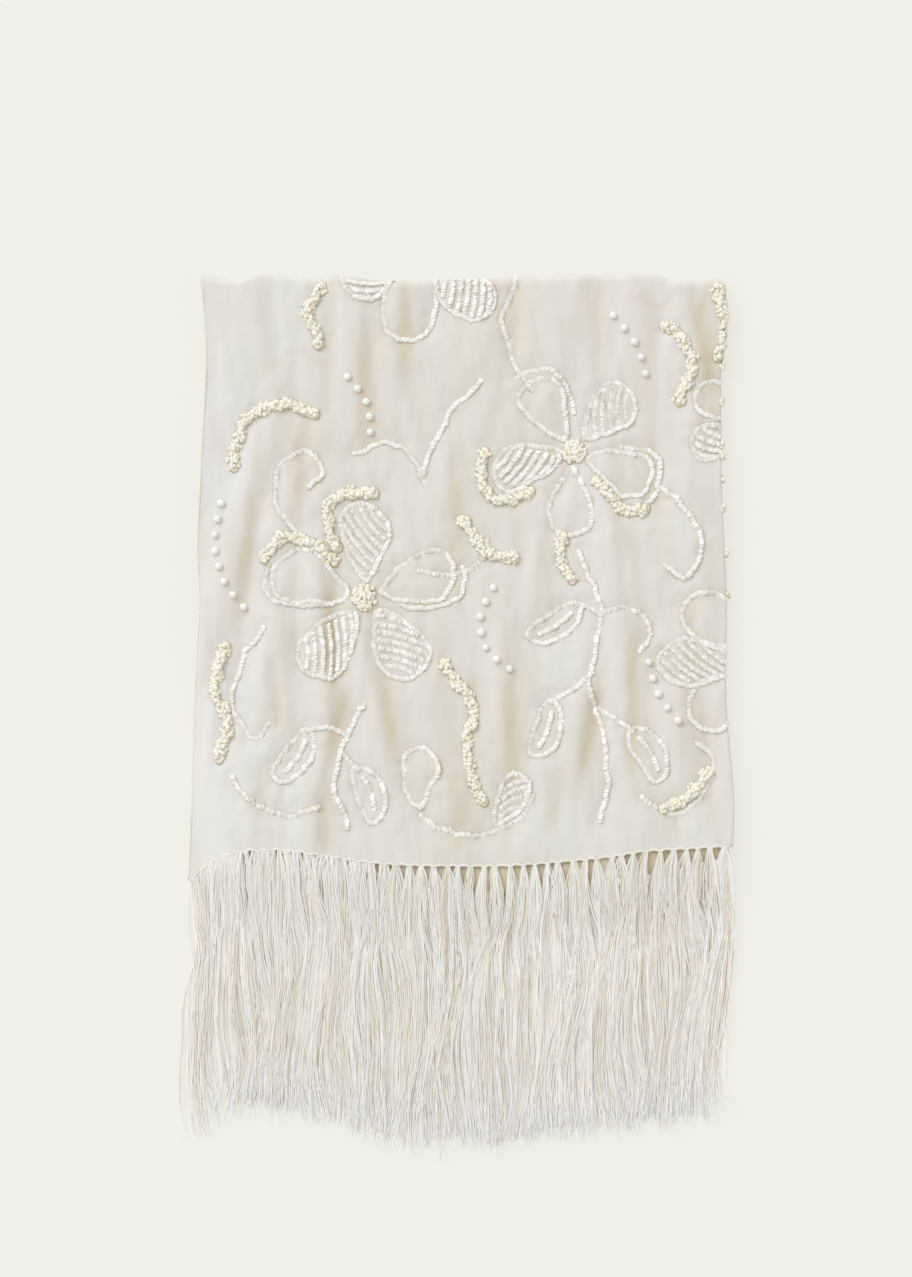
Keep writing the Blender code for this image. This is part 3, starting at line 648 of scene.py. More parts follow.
# %% Silk
def new_finish(name, roughness, sheen=0.0, coat=0.0, specular=0.5):
    finish = bpy.data.materials.new(name)
    finish.use_nodes = True
    shader = finish.node_tree.nodes["Principled BSDF"]
    shader.inputs["Roughness"].default_value = roughness
    shader.inputs["Sheen Weight"].default_value = sheen
    shader.inputs["Coat Weight"].default_value = coat
    shader.inputs["Specular IOR Level"].default_value = specular
    return finish, finish.node_tree, shader


def colour_ramp(tree, stops):
    ramp = tree.nodes.new("ShaderNodeValToRGB")
    elements = ramp.color_ramp.elements
    while len(elements) < len(stops):
        elements.new(0.5)
    for element, (place, colour) in zip(elements, stops):
        element.position = place
        element.color = (*colour, 1.0)
    return ramp


PLAIN_SHADE = 0.3
PINKISH, GREENISH = (1.0, 0.980, 0.972), (0.978, 0.99, 0.972)
SILK_RELIEF, RELIEF_DEPTH = 0.5, 0.0006


def silk_finish(name, pale, plain, tan):
    """Silk that goes from pale over plain to tan by the shade at each point, and drifts in tint."""
    finish, tree, shader = new_finish(name, 0.62, sheen=0.2, specular=0.3)
    link = tree.links.new
    place = tree.nodes.new("ShaderNodeTexCoord").outputs["Object"]
    silk = add_node(tree, "ShaderNodeGroup", node_tree=woven_silk)
    link(place, silk.inputs["Place"])
    depth = add_node(tree, "ShaderNodeAttribute", attribute_name="shade")
    depth_ramp = colour_ramp(tree, ((0.0, pale), (PLAIN_SHADE, plain), (1.0, tan)))
    link(depth.outputs["Fac"], depth_ramp.inputs["Fac"])
    tint_ramp = colour_ramp(tree, ((0.34, PINKISH), (0.66, GREENISH)))
    link(silk.outputs["Tint"], tint_ramp.inputs["Fac"])
    # A Mix node has hidden sockets of the same name for numbers, so its colours go by number
    tinted = add_node(tree, "ShaderNodeMix", data_type="RGBA", blend_type="MULTIPLY")
    tinted.inputs[0].default_value = 1.0
    link(depth_ramp.outputs["Color"], tinted.inputs[6])
    link(tint_ramp.outputs["Color"], tinted.inputs[7])
    link(tinted.outputs[2], shader.inputs["Base Color"])
    bump = add_node(tree, "ShaderNodeBump", Strength=SILK_RELIEF, Distance=RELIEF_DEPTH)
    link(silk.outputs["Height"], bump.inputs["Height"])
    link(bump.outputs["Normal"], shader.inputs["Normal"])
    return finish


# The tan ends carry painted shade: in creases, on ridge sides that face away from the light, near
# stitches and in the middle of the top layer, and under the front hem on the lower layers. The tan
# end also carries the warmer lines of the next layer's pattern.
top_silk = silk_finish("ivory silk", (0.805, 0.80, 0.785), (0.782, 0.763, 0.718),
                       (0.68, 0.60, 0.47))
lower_silk = silk_finish("ivory silk, lower layers", (0.86, 0.83, 0.76), (0.84, 0.79, 0.68),
                         (0.70, 0.61, 0.44))
hem_silk = silk_finish("ivory silk, rolled hems", (0.86, 0.84, 0.78), (0.85, 0.81, 0.72),
                       (0.72, 0.64, 0.50))
print("Finishes:", [finish.name for finish in (top_silk, lower_silk, hem_silk)])

# %% [markdown]
# Thread, sequins and pearls are too small for a pattern of their own. Here each little piece gets
# one number, its tone, and a ramp turns that into a colour. Light also passes through thin
# threads and discs, and a very faint glow in their own colour stands for it.

# %% Thread, sequins and pearls
def toned_finish(name, stops, roughness, glow=0.0, **shine):
    """A finish whose colour follows each small piece's own tone over a few colours."""
    finish, tree, shader = new_finish(name, roughness, **shine)
    shader.inputs["Emission Strength"].default_value = glow
    tone = add_node(tree, "ShaderNodeAttribute", attribute_name="tone")
    ramp = colour_ramp(tree, stops)
    tree.links.new(tone.outputs["Fac"], ramp.inputs["Fac"])
    tree.links.new(ramp.outputs["Color"], shader.inputs["Base Color"])
    tree.links.new(ramp.outputs["Color"], shader.inputs["Emission Color"])
    return finish


# Tan at the low end, which also carries the painted shade near the roots under the hems, cream
# above it, and cool at the thin tips
thread_finish = toned_finish(
    "silk fringe thread",
    ((0.0, (0.70, 0.63, 0.51)), (0.35, (0.815, 0.775, 0.70)), (0.75, (0.89, 0.87, 0.835)),
     (1.0, (0.83, 0.825, 0.815))), 0.45, glow=0.055, sheen=0.3)
# Its dark end also carries the painted shade at each sequin's edge
sequin_finish = toned_finish(
    "pearly sequins", ((0.0, (0.57, 0.535, 0.46)), (1.0, (0.85, 0.832, 0.79))), 0.36,
    glow=0.13, coat=0.2, specular=0.5)
# Its yellower low end is painted shade on the lowest standing sequins and on the bed
ruched_finish = toned_finish(
    "ruched cream sequins", ((0.0, (0.93, 0.865, 0.70)), (1.0, (0.92, 0.895, 0.80))), 0.5,
    coat=0.1, specular=0.4)
pearl_finish = toned_finish(
    "pearls", ((0.0, (0.86, 0.84, 0.78)), (1.0, (0.93, 0.915, 0.87))), 0.28,
    coat=0.3, specular=0.5)
print("Finishes for thread, sequins and pearls")

# %% [markdown]
# ## The top layer
#
# A sheet starts as a plain grid. Its points are then laid on the cloth's surface, row by row from
# the hem over the head fold, and column by column to the long fold. A Solidify modifier gives it
# the thickness of silk, and is applied.

# %% Grid of the top layer
FLAT_COLUMNS, SIDE_COLUMNS = 168, 8
FLAT_ROWS, HEAD_ROWS = 182, 14


def grid_piece(name, columns, rows):
    """A flat grid with row and column numbers for each of its points."""
    bpy.ops.object.select_all(action="DESELECT")
    bpy.ops.mesh.primitive_grid_add(x_subdivisions=columns, y_subdivisions=rows, size=2)
    piece = bpy.context.object
    piece.name = name
    spots = np.empty(len(piece.data.vertices) * 3)
    piece.data.vertices.foreach_get("co", spots)
    spots = spots.reshape(-1, 3)
    return piece, (spots[:, 0] + 1) / 2, (spots[:, 1] + 1) / 2


def flat_places(across, up):
    """Flat places on the top layer, past both fold lines, for shares of the whole grid."""
    columns, rows = FLAT_COLUMNS + SIDE_COLUMNS, FLAT_ROWS + HEAD_ROWS
    column, row = across * columns, up * rows
    share_x = np.minimum(column / FLAT_COLUMNS, 1.0)
    share_y = np.minimum(row / FLAT_ROWS, 1.0)
    side_arc = np.maximum(0.0, column - FLAT_COLUMNS) / SIDE_COLUMNS
    head_arc = np.maximum(0.0, row - FLAT_ROWS) / HEAD_ROWS
    y = mix(front_hem(0.0), head_line(0.0), share_y)
    x = mix(left_edge(y), right_fold(y), share_x)
    # Each depends on the other, so a few rounds settle them
    for _ in range(3):
        y = mix(front_hem(x), head_line(x) - HEAD_FOLD_RADIUS, share_y)
        x = mix(left_edge(y), right_fold(y) - SIDE_FOLD_RADIUS, share_x)
    y = y + head_arc * HEAD_TURN_END * HEAD_FOLD_RADIUS
    x = mix(left_edge(y), side_fold_start(y), share_x)
    x = x + side_arc * SIDE_TURN_END * SIDE_FOLD_RADIUS
    return np.column_stack((x, y))


top_layer, across, up = grid_piece("silk_top_layer", FLAT_COLUMNS + SIDE_COLUMNS,
                                   FLAT_ROWS + HEAD_ROWS)
flat_grid = flat_places(across, up)
top_points = on_cloth(flat_grid)[0]
top_layer.data.vertices.foreach_set("co", (top_points + HERE).ravel())
top_layer.data.update()
print(f"{len(top_points)} points on the top layer")

# %% [markdown]
# The next layer's pattern shows through as soft lines, paler or warmer than the cloth. Painted
# shade makes the creases, the sides of the ridges that face away from the light and the cloth
# close to the stitches warmer and darker. Over the whole scarf painted shade darkens the middle a
# touch, and painted light makes the left side paler. All of it goes into one number at each point,
# the shade, which the silk finish reads.

# %% Shade of the top layer
GHOST_WIDTH = 0.0030
PALE_GHOSTS = (
    ((-132, 110), (-112, 114), (-88, 108)),
    ((106, 112), (130, 116), (156, 110)),
    ((-30, 20), (-44, 40), (-36, 58)),
    ((40, 44), (52, 30), (44, -4)),
    ((150, 60), (136, 44), (120, 50)))
TAN_GHOSTS = (
    ((152, 258), (146, 236), (152, 206), (148, 180)),
    ((134, 262), (122, 250), (112, 256)),
    ((-120, 210), (-104, 222), (-84, 214)))
DEEP_DIP, STEEP_FALL, SLOPE_STEP = 0.0010, 0.0022, 0.004
# How much each thing adds to the shade or takes from it: painted shade in dips, on slopes that
# face away from the light, near stitches and in the middle, and painted light at the left edge
PAINTED_SHADE_IN_DIPS, PAINTED_SHADE_ON_SLOPES, MOTTLE, MOTTLE_WAVES = 0.42, 0.18, 0.16, (26.0, 9.0)
TAN_LINES, PALE_LINES = 0.22, 0.16
PAINTED_SHADE_NEAR_STITCHES, STITCH_REACH = 0.12, 0.0035
PAINTED_SHADE_IN_MIDDLE, MIDDLE_REACH = 0.08, 0.105
PAINTED_LIGHT_AT_EDGE, PALE_EDGE_X, PALE_REACH = 0.12, -0.140, 0.032
SHADE_ON_TABLE = 0.2


def set_number(piece, name, values):
    attribute = piece.data.attributes.new(name, "FLOAT", "POINT")
    attribute.data.foreach_set("value", np.asarray(values, dtype=np.float32))


def ghost(lines, x, y):
    distance = nearest_finder(np.vstack([smooth_line(points) for points in lines]))
    return np.exp(-(distance(x, y) / GHOST_WIDTH) ** 2)


def silk_shade(x, y):
    """From 0, pale, over 0.3, plain, to 1, tan where more lies under it. Painted shade tans the
    dips, the slopes that face away from the light, the cloth near stitches and the middle, and
    painted light pales the left edge.
    """
    dips = -sum(bells(CREASES, x, y)) / DEEP_DIP
    slopes = fold_height(x + SLOPE_STEP, y) - fold_height(x - SLOPE_STEP, y)
    falling = np.clip(-slopes / STEEP_FALL, 0, 1)
    mottle = rough(x + 3.0, y, MOTTLE_WAVES, 3)
    # Painted shade in the dips and on the slopes that face away from the light
    shade = PLAIN_SHADE + PAINTED_SHADE_IN_DIPS * np.clip(dips, -0.3, 1) + PAINTED_SHADE_ON_SLOPES * falling + MOTTLE * mottle
    shade += TAN_LINES * ghost(TAN_GHOSTS, x, y) - PALE_LINES * ghost(PALE_GHOSTS, x, y)
    # Painted shade on the cloth close to the stitches
    shade += PAINTED_SHADE_NEAR_STITCHES * np.exp(-(stitch_distance(x, y) / STITCH_REACH) ** 2)
    # Painted shade in the middle of the scarf, and painted light along its left edge
    shade += PAINTED_SHADE_IN_MIDDLE * np.exp(-(x / MIDDLE_REACH) ** 4)
    shade -= PAINTED_LIGHT_AT_EDGE * np.exp(-((x - PALE_EDGE_X) / PALE_REACH) ** 2)
    return np.clip(mix(SHADE_ON_TABLE, shade, held_up(x, y)), 0, 1)


set_number(top_layer, "shade", silk_shade(*flat_grid.T))
print("Shaded the top layer")

# %% Thickness of the top layer
SILK_THICKNESS = 0.0005


def dress(piece, finish, nodes=(), smooth=True):
    """Gives a piece its finish and smooth or flat faces, hangs it on the root body, and hides the
    plain pieces that it stands for.
    """
    piece.data.materials.append(finish)
    if smooth:
        piece.data.shade_smooth()
    else:
        piece.data.shade_flat()
    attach(piece, "root")
    if nodes:
        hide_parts(*nodes)


bpy.context.view_layer.objects.active = top_layer
wall = top_layer.modifiers.new("thickness", "SOLIDIFY")
wall.thickness = SILK_THICKNESS
wall.offset = -1
wall.use_quality_normals = True
bpy.ops.object.modifier_apply(modifier=wall.name)
dress(top_layer, top_silk, ["front_panel"])
print(f"The top layer has {len(top_layer.data.polygons)} faces")

# %% [markdown]
# ## The layers underneath
#
# Only their edges show: at the left the cut edges of the cloth, at the right and at the head the
# nested folds, at the hem one band of cloth that sticks out below the top layer. They are one
# rounded body whose sides go in and out once for each layer.

# %% Heights and steps of the lower layers
LAYER_COLUMNS, LAYER_ROWS = 60, 70
LAYER_HEIGHTS = np.array((
    (8.8, 7.6), (7.3, 6.4), (6.1, 5.1), (4.8, 3.9), (3.6, 2.7), (2.4, 1.3), (1.1, 0.1))) / MM
# How far each layer's edge lies in from the outline, at the left, the right and the hem
LAYER_STEPS = np.array((
    (0, 2.6, 0), (2.2, 3.8, 8.8), (1.4, 3, 8), (0.4, 2.6, 7.2), (1.8, 3.4, 8.6), (0.8, 3, 7.8),
    (2.2, 4.2, 9.2))) / MM
# Each edge in section: share of the layer's height, and how far in. The groove is just below it
EDGE_SHAPE = ((1.0, 0.0007), (0.85, 0.0002), (0.5, 0.0), (0.15, 0.0002), (0.0, 0.0007))
GROOVE = (-0.12, 0.0030)
FLAT_INSET = 0.0012
STACK_HEAD = 0.2604
STACK_NOSE = 0.0036
LIP_DROOP = 0.0020
LIP_REACH = 0.014
# Height, rate round the outline and shift a layer of the waves in which the edges wander
SIDE_WANDER = ((0.0007, 37, 2.1), (0.0004, 91, 1.3))
HEM_WANDER = ((0.0008, 29, 1.7),)
# The lowest layers make room for the end of the top layer, which is turned under them
TURNED_IN = 0.0006
OFF_TABLE = 0.00005
# Painted shade for the band of the lower layers under the top layer's hem, and how far in it
# reaches
PAINTED_SHADE_UNDER_HEM, DEEP_REACH = 0.85, 0.010


def head_step(height):
    """How far the lower layers lie in at the head, to fit in the round fold of the top layer."""
    off_middle = min(abs(height - HEAD_FOLD_RADIUS), STACK_NOSE)
    step = STACK_NOSE - math.sqrt(STACK_NOSE ** 2 - off_middle ** 2)
    return step + (TURNED_IN if height < CLOTH_WALL + LAYER_GAP else 0.0)


def wandering(waves, share, layer):
    return sum(high * np.sin(rate * share + shift * layer) for high, rate, shift in waves)


def layer_ring(across, up, height, steps, layer):
    """Places in the lower layers at one height, with each side stepped in by its own amount."""
    left, right, hem = steps
    head = head_step(height)
    hem_wander = wandering(HEM_WANDER, across, layer) * (layer > 0)
    middle_y = mix(under_hem(0.0) + hem, STACK_HEAD - head, up)
    start_x = under_left(middle_y) + left + wandering(SIDE_WANDER, up, layer)
    x = mix(start_x, right_fold(middle_y) - right, across)
    y = mix(under_hem(x) + hem + hem_wander, STACK_HEAD - head, up)
    droop = LIP_DROOP * np.clip(1 - (y - under_hem(x)) / LIP_REACH, 0, 1) ** 2
    return np.column_stack((x, y, np.maximum(height - droop, OFF_TABLE)))


print(f"{len(LAYER_HEIGHTS)} lower layers")

# %% Building the lower layers
def rim_of(columns, rows):
    """Column and row numbers round the outside of a grid."""
    rim = [(i, 0) for i in range(columns)] + [(columns, j) for j in range(rows)]
    rim += [(i, rows) for i in range(columns, 0, -1)] + [(0, j) for j in range(rows, 0, -1)]
    return np.array(rim)


def lower_layers_mesh():
    columns, rows = LAYER_COLUMNS, LAYER_ROWS
    rim = rim_of(columns, rows)
    i, j = np.meshgrid(np.arange(columns + 1), np.arange(rows + 1))
    inside = [(i / columns).ravel(), (j / rows).ravel()]
    edge = [rim[:, 0] / columns, rim[:, 1] / rows]
    first, last = LAYER_STEPS[0] + FLAT_INSET, LAYER_STEPS[-1] + FLAT_INSET
    points = [layer_ring(*inside, LAYER_HEIGHTS[0][0], first, 0)]
    numbers = rim[:, 1] * (columns + 1) + rim[:, 0]
    rings, count = [numbers], len(points[0])
    for layer, ((high, low), steps) in enumerate(zip(LAYER_HEIGHTS, LAYER_STEPS)):
        shape = EDGE_SHAPE + (GROOVE,) if layer < len(LAYER_STEPS) - 1 else EDGE_SHAPE
        for share, inset in shape:
            points.append(layer_ring(*edge, mix(low, high, share), steps + inset, layer))
            rings.append(np.arange(count, count + len(rim)))
            count += len(rim)
    points.append(layer_ring(*inside, 0.0, last, len(LAYER_STEPS) - 1))
    rings.append(numbers + count)
    faces = []
    for upper, lower in zip(rings, rings[1:]):
        faces.append(np.column_stack((upper, lower, np.roll(lower, -1), np.roll(upper, -1))))
    corner = (j[:-1, :-1] * (columns + 1) + i[:-1, :-1]).ravel()
    top = np.column_stack((corner, corner + 1, corner + columns + 2, corner + columns + 1))
    return np.vstack(points), np.vstack(faces + [top, top[:, ::-1] + count])


def in_scene(name, data):
    """A new object of the scene that shows the data."""
    item = bpy.data.objects.new(name, data)
    bpy.context.scene.collection.objects.link(item)
    return item


def mesh_piece(name, points, faces):
    mesh = bpy.data.meshes.new(name)
    mesh.from_pydata(points + HERE, [], faces)
    return in_scene(name, mesh)


layer_points, layer_faces = lower_layers_mesh()
lower_layers = mesh_piece("silk_lower_layers", layer_points, layer_faces)
from_hem = layer_points[:, 1] - front_hem(layer_points[:, 0])
# Painted shade: tan where the lower layers lie under the top layer's hem, fading further in
set_number(lower_layers, "shade", mix(PAINTED_SHADE_UNDER_HEM, PLAIN_SHADE, ease(from_hem / DEEP_REACH)))
dress(lower_layers, lower_silk, ["folded_layers"])
lower_layers.data.set_sharp_from_angle(angle=math.radians(60))
print(f"The lower layers have {len(lower_layers.data.polygons)} faces")

# %% [markdown]
# ## Rolled hems
#
# A silk scarf has its edge rolled to a thin cord and stitched by hand. Here it is a tube that
# follows the edge, with a small swelling between stitches, and it is drawn down a little where a
# tassel of the fringe pulls at it. The tube maker serves the fringe too: it takes many paths at
# once and gives each a ring of points at every stop. A ring of three points starts a twelfth of a
# turn round, so that such a thin tube has a side on top and not an edge.

# %% Tubes along paths
def tubes(paths, radii, sides, side_axes, rolls=0.0):
    """Closed tubes. paths is (paths, stops, 3), radii (paths, stops), side_axes two directions."""
    count, stops, _ = paths.shape
    rolls = np.broadcast_to(rolls, count)
    angle = 2 * math.pi * (np.arange(sides) / sides + 1 / 12) + rolls[:, None]
    ring = np.cos(angle)[..., None] * side_axes[0] + np.sin(angle)[..., None] * side_axes[1]
    points = paths[:, :, None, :] + radii[:, :, None, None] * ring[:, None]
    stop, side = np.meshgrid(np.arange(stops - 1), np.arange(sides), indexing="ij")
    after = (side + 1) % sides
    quads = np.stack((stop * sides + side, stop * sides + after,
                      (stop + 1) * sides + after, (stop + 1) * sides + side), axis=-1)
    first = np.arange(count)[:, None, None] * stops * sides
    walls = (quads.reshape(1, -1, 4) + first).reshape(-1, 4)
    start = (np.arange(sides)[::-1] + first[:, 0]).reshape(count, sides)
    end = (np.arange(sides) + (stops - 1) * sides + first[:, 0]).reshape(count, sides)
    return points.reshape(-1, 3), walls.tolist() + start.tolist() + end.tolist()


print("Ready to make tubes")

# %% Rolled hems
ROLL_RADIUS = 0.00070
ROLL_STITCH = 0.0034
PINCHED = 0.86
SCALLOP = 0.0009
HEM_SHADE = 0.15
# Where each roll starts and ends along its side, and how far in from the edge it lies
FRONT_ROLL, SIDE_ROLL, UNDER_ROLL = (-0.1686, 0.1660), (-0.1040, 0.2620), (-0.1350, 0.1650)
FRONT_ROLL_IN, SIDE_ROLL_IN = 0.0001, 0.0006
ROLL_POINTS = 300
# The roll is pressed flat: wider than it is high
ROLL_FLATNESS = np.array(((1.5,), (1.1,)))
# Side directions of tubes that run along x and along y
ALONG_X = np.array(((0.0, 1.0, 0.0), (0.0, 0.0, 1.0)))
ALONG_Y = np.array(((1.0, 0.0, 0.0), (0.0, 0.0, 1.0)))
UNEVEN = 0.0007
FRONT_ENDS, FRONT_TASSELS = (-0.1685, 0.1660), 43
UNDER_ENDS, UNDER_TASSELS = (-0.1360, 0.1650), 41
UNDER_HEM_HEIGHT = LAYER_HEIGHTS[0][1] + 0.0006 - LIP_DROOP


def tassel_places(ends, tassels):
    """Where the tassels are tied, not quite evenly."""
    uneven = np.random.default_rng(tassels).normal(0, UNEVEN, tassels)
    return mix(ends[0], ends[1], (np.arange(tassels) + 0.5) / tassels) + uneven


def scallops(x, ends, tassels):
    """How far the hem springs back between its tassels."""
    number = np.interp(x, tassel_places(ends, tassels), np.arange(tassels))
    return SCALLOP * np.sin(math.pi * number) ** 2


def rolled_hem(name, path, axes, reverse):
    """A rolled hem along a path, pinched at each stitch."""
    path = evenly(path, ROLL_STITCH / 4)
    if reverse:
        path = path[::-1]
    pinch = mix(PINCHED, 1.0, np.sin(math.pi * np.arange(len(path)) / 4) ** 2)
    points, faces = tubes(path[None], (ROLL_RADIUS * pinch)[None], 8, axes * ROLL_FLATNESS)
    piece = mesh_piece(name, points, faces)
    set_number(piece, "shade", np.full(len(points), HEM_SHADE))
    dress(piece, hem_silk)
    return piece


hem_x = np.linspace(*FRONT_ROLL, ROLL_POINTS)
hem_y = front_hem(hem_x) + FRONT_ROLL_IN + scallops(hem_x, FRONT_ENDS, FRONT_TASSELS)
hem_flat = np.column_stack((hem_x, hem_y))
hem_path = on_cloth(hem_flat)[0] - (0, 0, CLOTH_WALL / 3)
side_y = np.linspace(*SIDE_ROLL, ROLL_POINTS)
side_flat = np.column_stack((left_edge(side_y) + SIDE_ROLL_IN, side_y))
side_path = on_cloth(side_flat)[0] - (0, 0, CLOTH_WALL / 4)
front_roll = rolled_hem("rolled_hem_front", hem_path, ALONG_X, False)
side_roll = rolled_hem("rolled_hem_side", side_path, ALONG_Y, True)
under_x = np.linspace(*UNDER_ROLL, ROLL_POINTS)
under_y = under_hem(under_x) + scallops(under_x, UNDER_ENDS, UNDER_TASSELS)
under_z = np.full(ROLL_POINTS, UNDER_HEM_HEIGHT)
rolled_hem("rolled_hem_under", np.column_stack((under_x, under_y, under_z)), ALONG_X, False)
print("Rolled the front, side and under hems")

# %% [markdown]
# ## The fringe
#
# Each tassel is a bundle of silk threads drawn through the hem and knotted. It leaves the knot as
# a thin strand, opens into a few locks, and the threads of neighbouring locks lie over each other
# further down. All threads are worked out at once in arrays: where each starts, which lock it
# follows, how it waves, and where it ends. A seeded random generator keeps every run the same.
# A thread has only three flat sides, because thousands of them have to stay light.

# %% Lengths and sides of the fringe
front_length = smooth_curve((
    (-168, 160), (-135, 152), (-100, 160), (-50, 169), (20, 171), (70, 165), (170, 166)))
under_length = smooth_curve(((-140, 152), (10, 154), (170, 157)))
fringe_left = smooth_curve(((0, -167.5), (60, -165.5), (120, -166), (165, -166.5)))
fringe_right = smooth_curve(((0, 166), (60, 165.5), (120, 160), (165, 160.5)))
under_fringe_left = smooth_curve(((0, -134), (60, -136), (165, -140)))
THREAD_RADIUS, LOWEST = 0.00030, 0.00035
FRONT_REST, UNDER_REST, CORNER_REST = 0.0024, 0.0006, 0.0006
LEFT_CORNER_X, LEFT_CORNER_WIDTH = -0.153, 0.010
CROWDED_END, CROWDED_FADE = -0.075, 0.060
# How far down a tassel is one strand, and how wide it is at the knot and below
STRAND_LENGTH, KNOT_HALF, STRAND_HALF = 0.020, 0.00030, 0.0011
# The threads start inside the hem and the knots sit just outside it
ROOT_INSIDE, KNOT_OUTSIDE = 0.0006, 0.0006
ROOT_SPREAD, LOOSE_SHARE, BOWED_SHARE, BOW_SPREAD = 0.00045, 0.08, 0.012, 0.007
STOPS = 18
SWAY, SWAY_DOWN, SWAY_ACROSS = 0.0028, 0.150, 0.083


def sway(x, down):
    """Sideways drift of the fringe, the same for neighbours."""
    turn = 2 * math.pi * (down / SWAY_DOWN + x / SWAY_ACROSS)
    return SWAY * ease(down / 0.060) * (np.sin(turn) + 0.4 * np.sin(2.3 * turn + 1.0))


print("Lengths and sides of the fringe are set")

# %% How the threads run
def thread_paths(hem, length, left, right, ends, tassels, locks, per_lock, heights, seed,
                 root_painted_shade=0.0):
    """Paths of all threads of one fringe, (threads, stops, 3), and a tone at each stop."""
    chance = np.random.default_rng(seed)
    lock_count = tassels * locks
    count = lock_count * per_lock
    lock = np.arange(count) // per_lock
    tassel = lock // locks

    def normal(spread):
        return chance.normal(0, spread, lock_count)[lock][:, None]

    def between(low, high):
        return chance.uniform(low, high, lock_count)[lock][:, None]

    # At the left the tassels lie pushed together, so their locks start evenly spread over the
    # hem, further right each tassel starts in one point
    tied = tassel_places(ends, tassels)[tassel]
    crowded = 1 - ease((tied - CROWDED_END) / CROWDED_FADE)
    beside = (ends[1] - ends[0]) / tassels * ((lock % locks + 0.5) / locks - 0.5)
    stray = chance.normal(0, ROOT_SPREAD, lock_count)[lock]
    root = tied + stray + beside * crowded
    lean = chance.normal(0, 0.10, tassels)[tassel][:, None]
    flare = normal(0.12)
    leave = between(0.001, 0.022)
    open_out = between(0.030, 0.075)
    drift = normal(0.0036)
    lift = between(0, 0.0010)
    wave_start = between(0, 2 * math.pi)
    bend = normal(0.0012)
    fan = between(0.0011, 0.0026)
    lock_end = chance.normal(0, 0.0040, lock_count)[lock]
    lock_tone = chance.normal(0.58, 0.13, lock_count)[lock]
    # Six numbers of its own for each thread
    own = chance.normal(0, 1, (6, count, 1))
    phase = chance.uniform(0, 2 * math.pi, (2, count, 1))
    loose = chance.random((count, 1)) < LOOSE_SHARE
    reach = length(root) + lock_end - 0.0014 * np.abs(own[0, :, 0]) + 0.0004 * own[5, :, 0]

    # The last stop lies close to the one before it, so that the tip's end face doesn't darken it
    stop = np.append(np.linspace(0, 1, STOPS - 1) ** 1.15, 1.002)
    down = reach[:, None] * stop
    spread = ease((down - leave) / open_out)
    even = mix(left(down), right(down), (lock[:, None] + 0.5) / lock_count)
    target = even + sway(even, down) + drift * ease(down / 0.110)
    x = mix(root[:, None] + (lean + flare) * np.minimum(down, STRAND_LENGTH), target, spread)
    strand = mix(KNOT_HALF, STRAND_HALF, ease(down / 0.010))
    x = x + own[1] * mix(strand, np.where(loose, 2.2, 1.0) * fan * 0.62, spread)
    # A lock bends in a slow wave, and each thread in a fine one of its own
    x = x + bend * np.sin(down / 0.026 + wave_start) * ease(down / 0.05)
    x = x + 0.00030 * np.sin(down / 0.0062 + phase[0]) * ease(down / 0.03)
    # A very few threads bow right out of their lock
    bowed = chance.random((count, 1)) < BOWED_SHARE
    wander = np.where(bowed, chance.normal(0, BOW_SPREAD, (count, 1)), 0)
    x = x + wander * np.sin(math.pi * stop ** 1.5)
    # The tips of a lock draw together in a point, and a few threads stray from it
    x = x + own[2] * 0.0020 * ease((stop - 0.84) / 0.16)
    # Locks lie over each other, and so do the threads in them
    z = heights(root, down) + lift * spread
    z = z + np.abs(own[3]) * mix(0.0004, 0.0003, spread)
    z = z + 0.00015 * np.sin(down / 0.011 + phase[1]) * spread
    y = hem(root)[:, None] + ROOT_INSIDE - down
    # Brighter where the tassels are crowded, painted shade near the roots of the hems further in,
    # and cool at the tips
    tone = (lock_tone + 0.20 * own[4, :, 0])[:, None]
    tone = tone + 0.18 * crowded[:, None] * (1 - ease(down / 0.10))
    tone = np.clip(tone, 0.05, 0.80) - root_painted_shade * np.exp(-down / 0.018)
    tone = tone + 0.35 * ease((stop - 0.78) / 0.22)
    return np.stack((x, y, np.maximum(z, LOWEST)), axis=-1), np.clip(tone, 0, 1)


print("Ready to run threads")

# %% [markdown]
# The paths become tubes that thin out to their tips. Each fringe starts at its own hem and sinks
# to the table, and at the lower left corner the front one lies flat on it. The hems further in the
# fold are only suggested, by a few threads darkened with painted shade that show in the gaps.

# %% Threads as tubes, and how high they lie
THREAD_ROLL = 0.30
# How far down the threads sink to the table
FRONT_START, FRONT_FALL, UNDER_FALL, LOWEST_FALL = 0.004, 0.050, 0.034, 0.020
BELOW_TOP, UPPER_LIFT, UNDER_LIFT = 0.0008, 0.0009, 0.0007
INNER_HEM_IN, INNER_TASSELS = 0.0065, 40


def fringe_piece(name, paths, tone, nodes=()):
    """Threads as three-sided tubes, each rolled a little its own way."""
    count = len(paths)
    rolls = np.random.default_rng(count).normal(0, THREAD_ROLL, count)
    taper = mix(1.0, 0.75, ease(np.linspace(-0.5, 1, STOPS)))
    radii = np.tile(THREAD_RADIUS * taper, (count, 1))
    piece = mesh_piece(name, *tubes(paths, radii, 3, ALONG_Y, rolls))
    set_number(piece, "tone", np.repeat(tone.ravel(), 3))
    dress(piece, thread_finish, nodes, smooth=False)
    return piece


def front_heights(root, down):
    start = cloth_top(root, front_hem(root)) - BELOW_TOP
    rest = mix(CORNER_REST, FRONT_REST, ease((root - LEFT_CORNER_X) / LEFT_CORNER_WIDTH))
    return mix(start[:, None], rest[:, None], ease((down - FRONT_START) / FRONT_FALL))


def upper_heights(root, down):
    return front_heights(root, down) + UPPER_LIFT


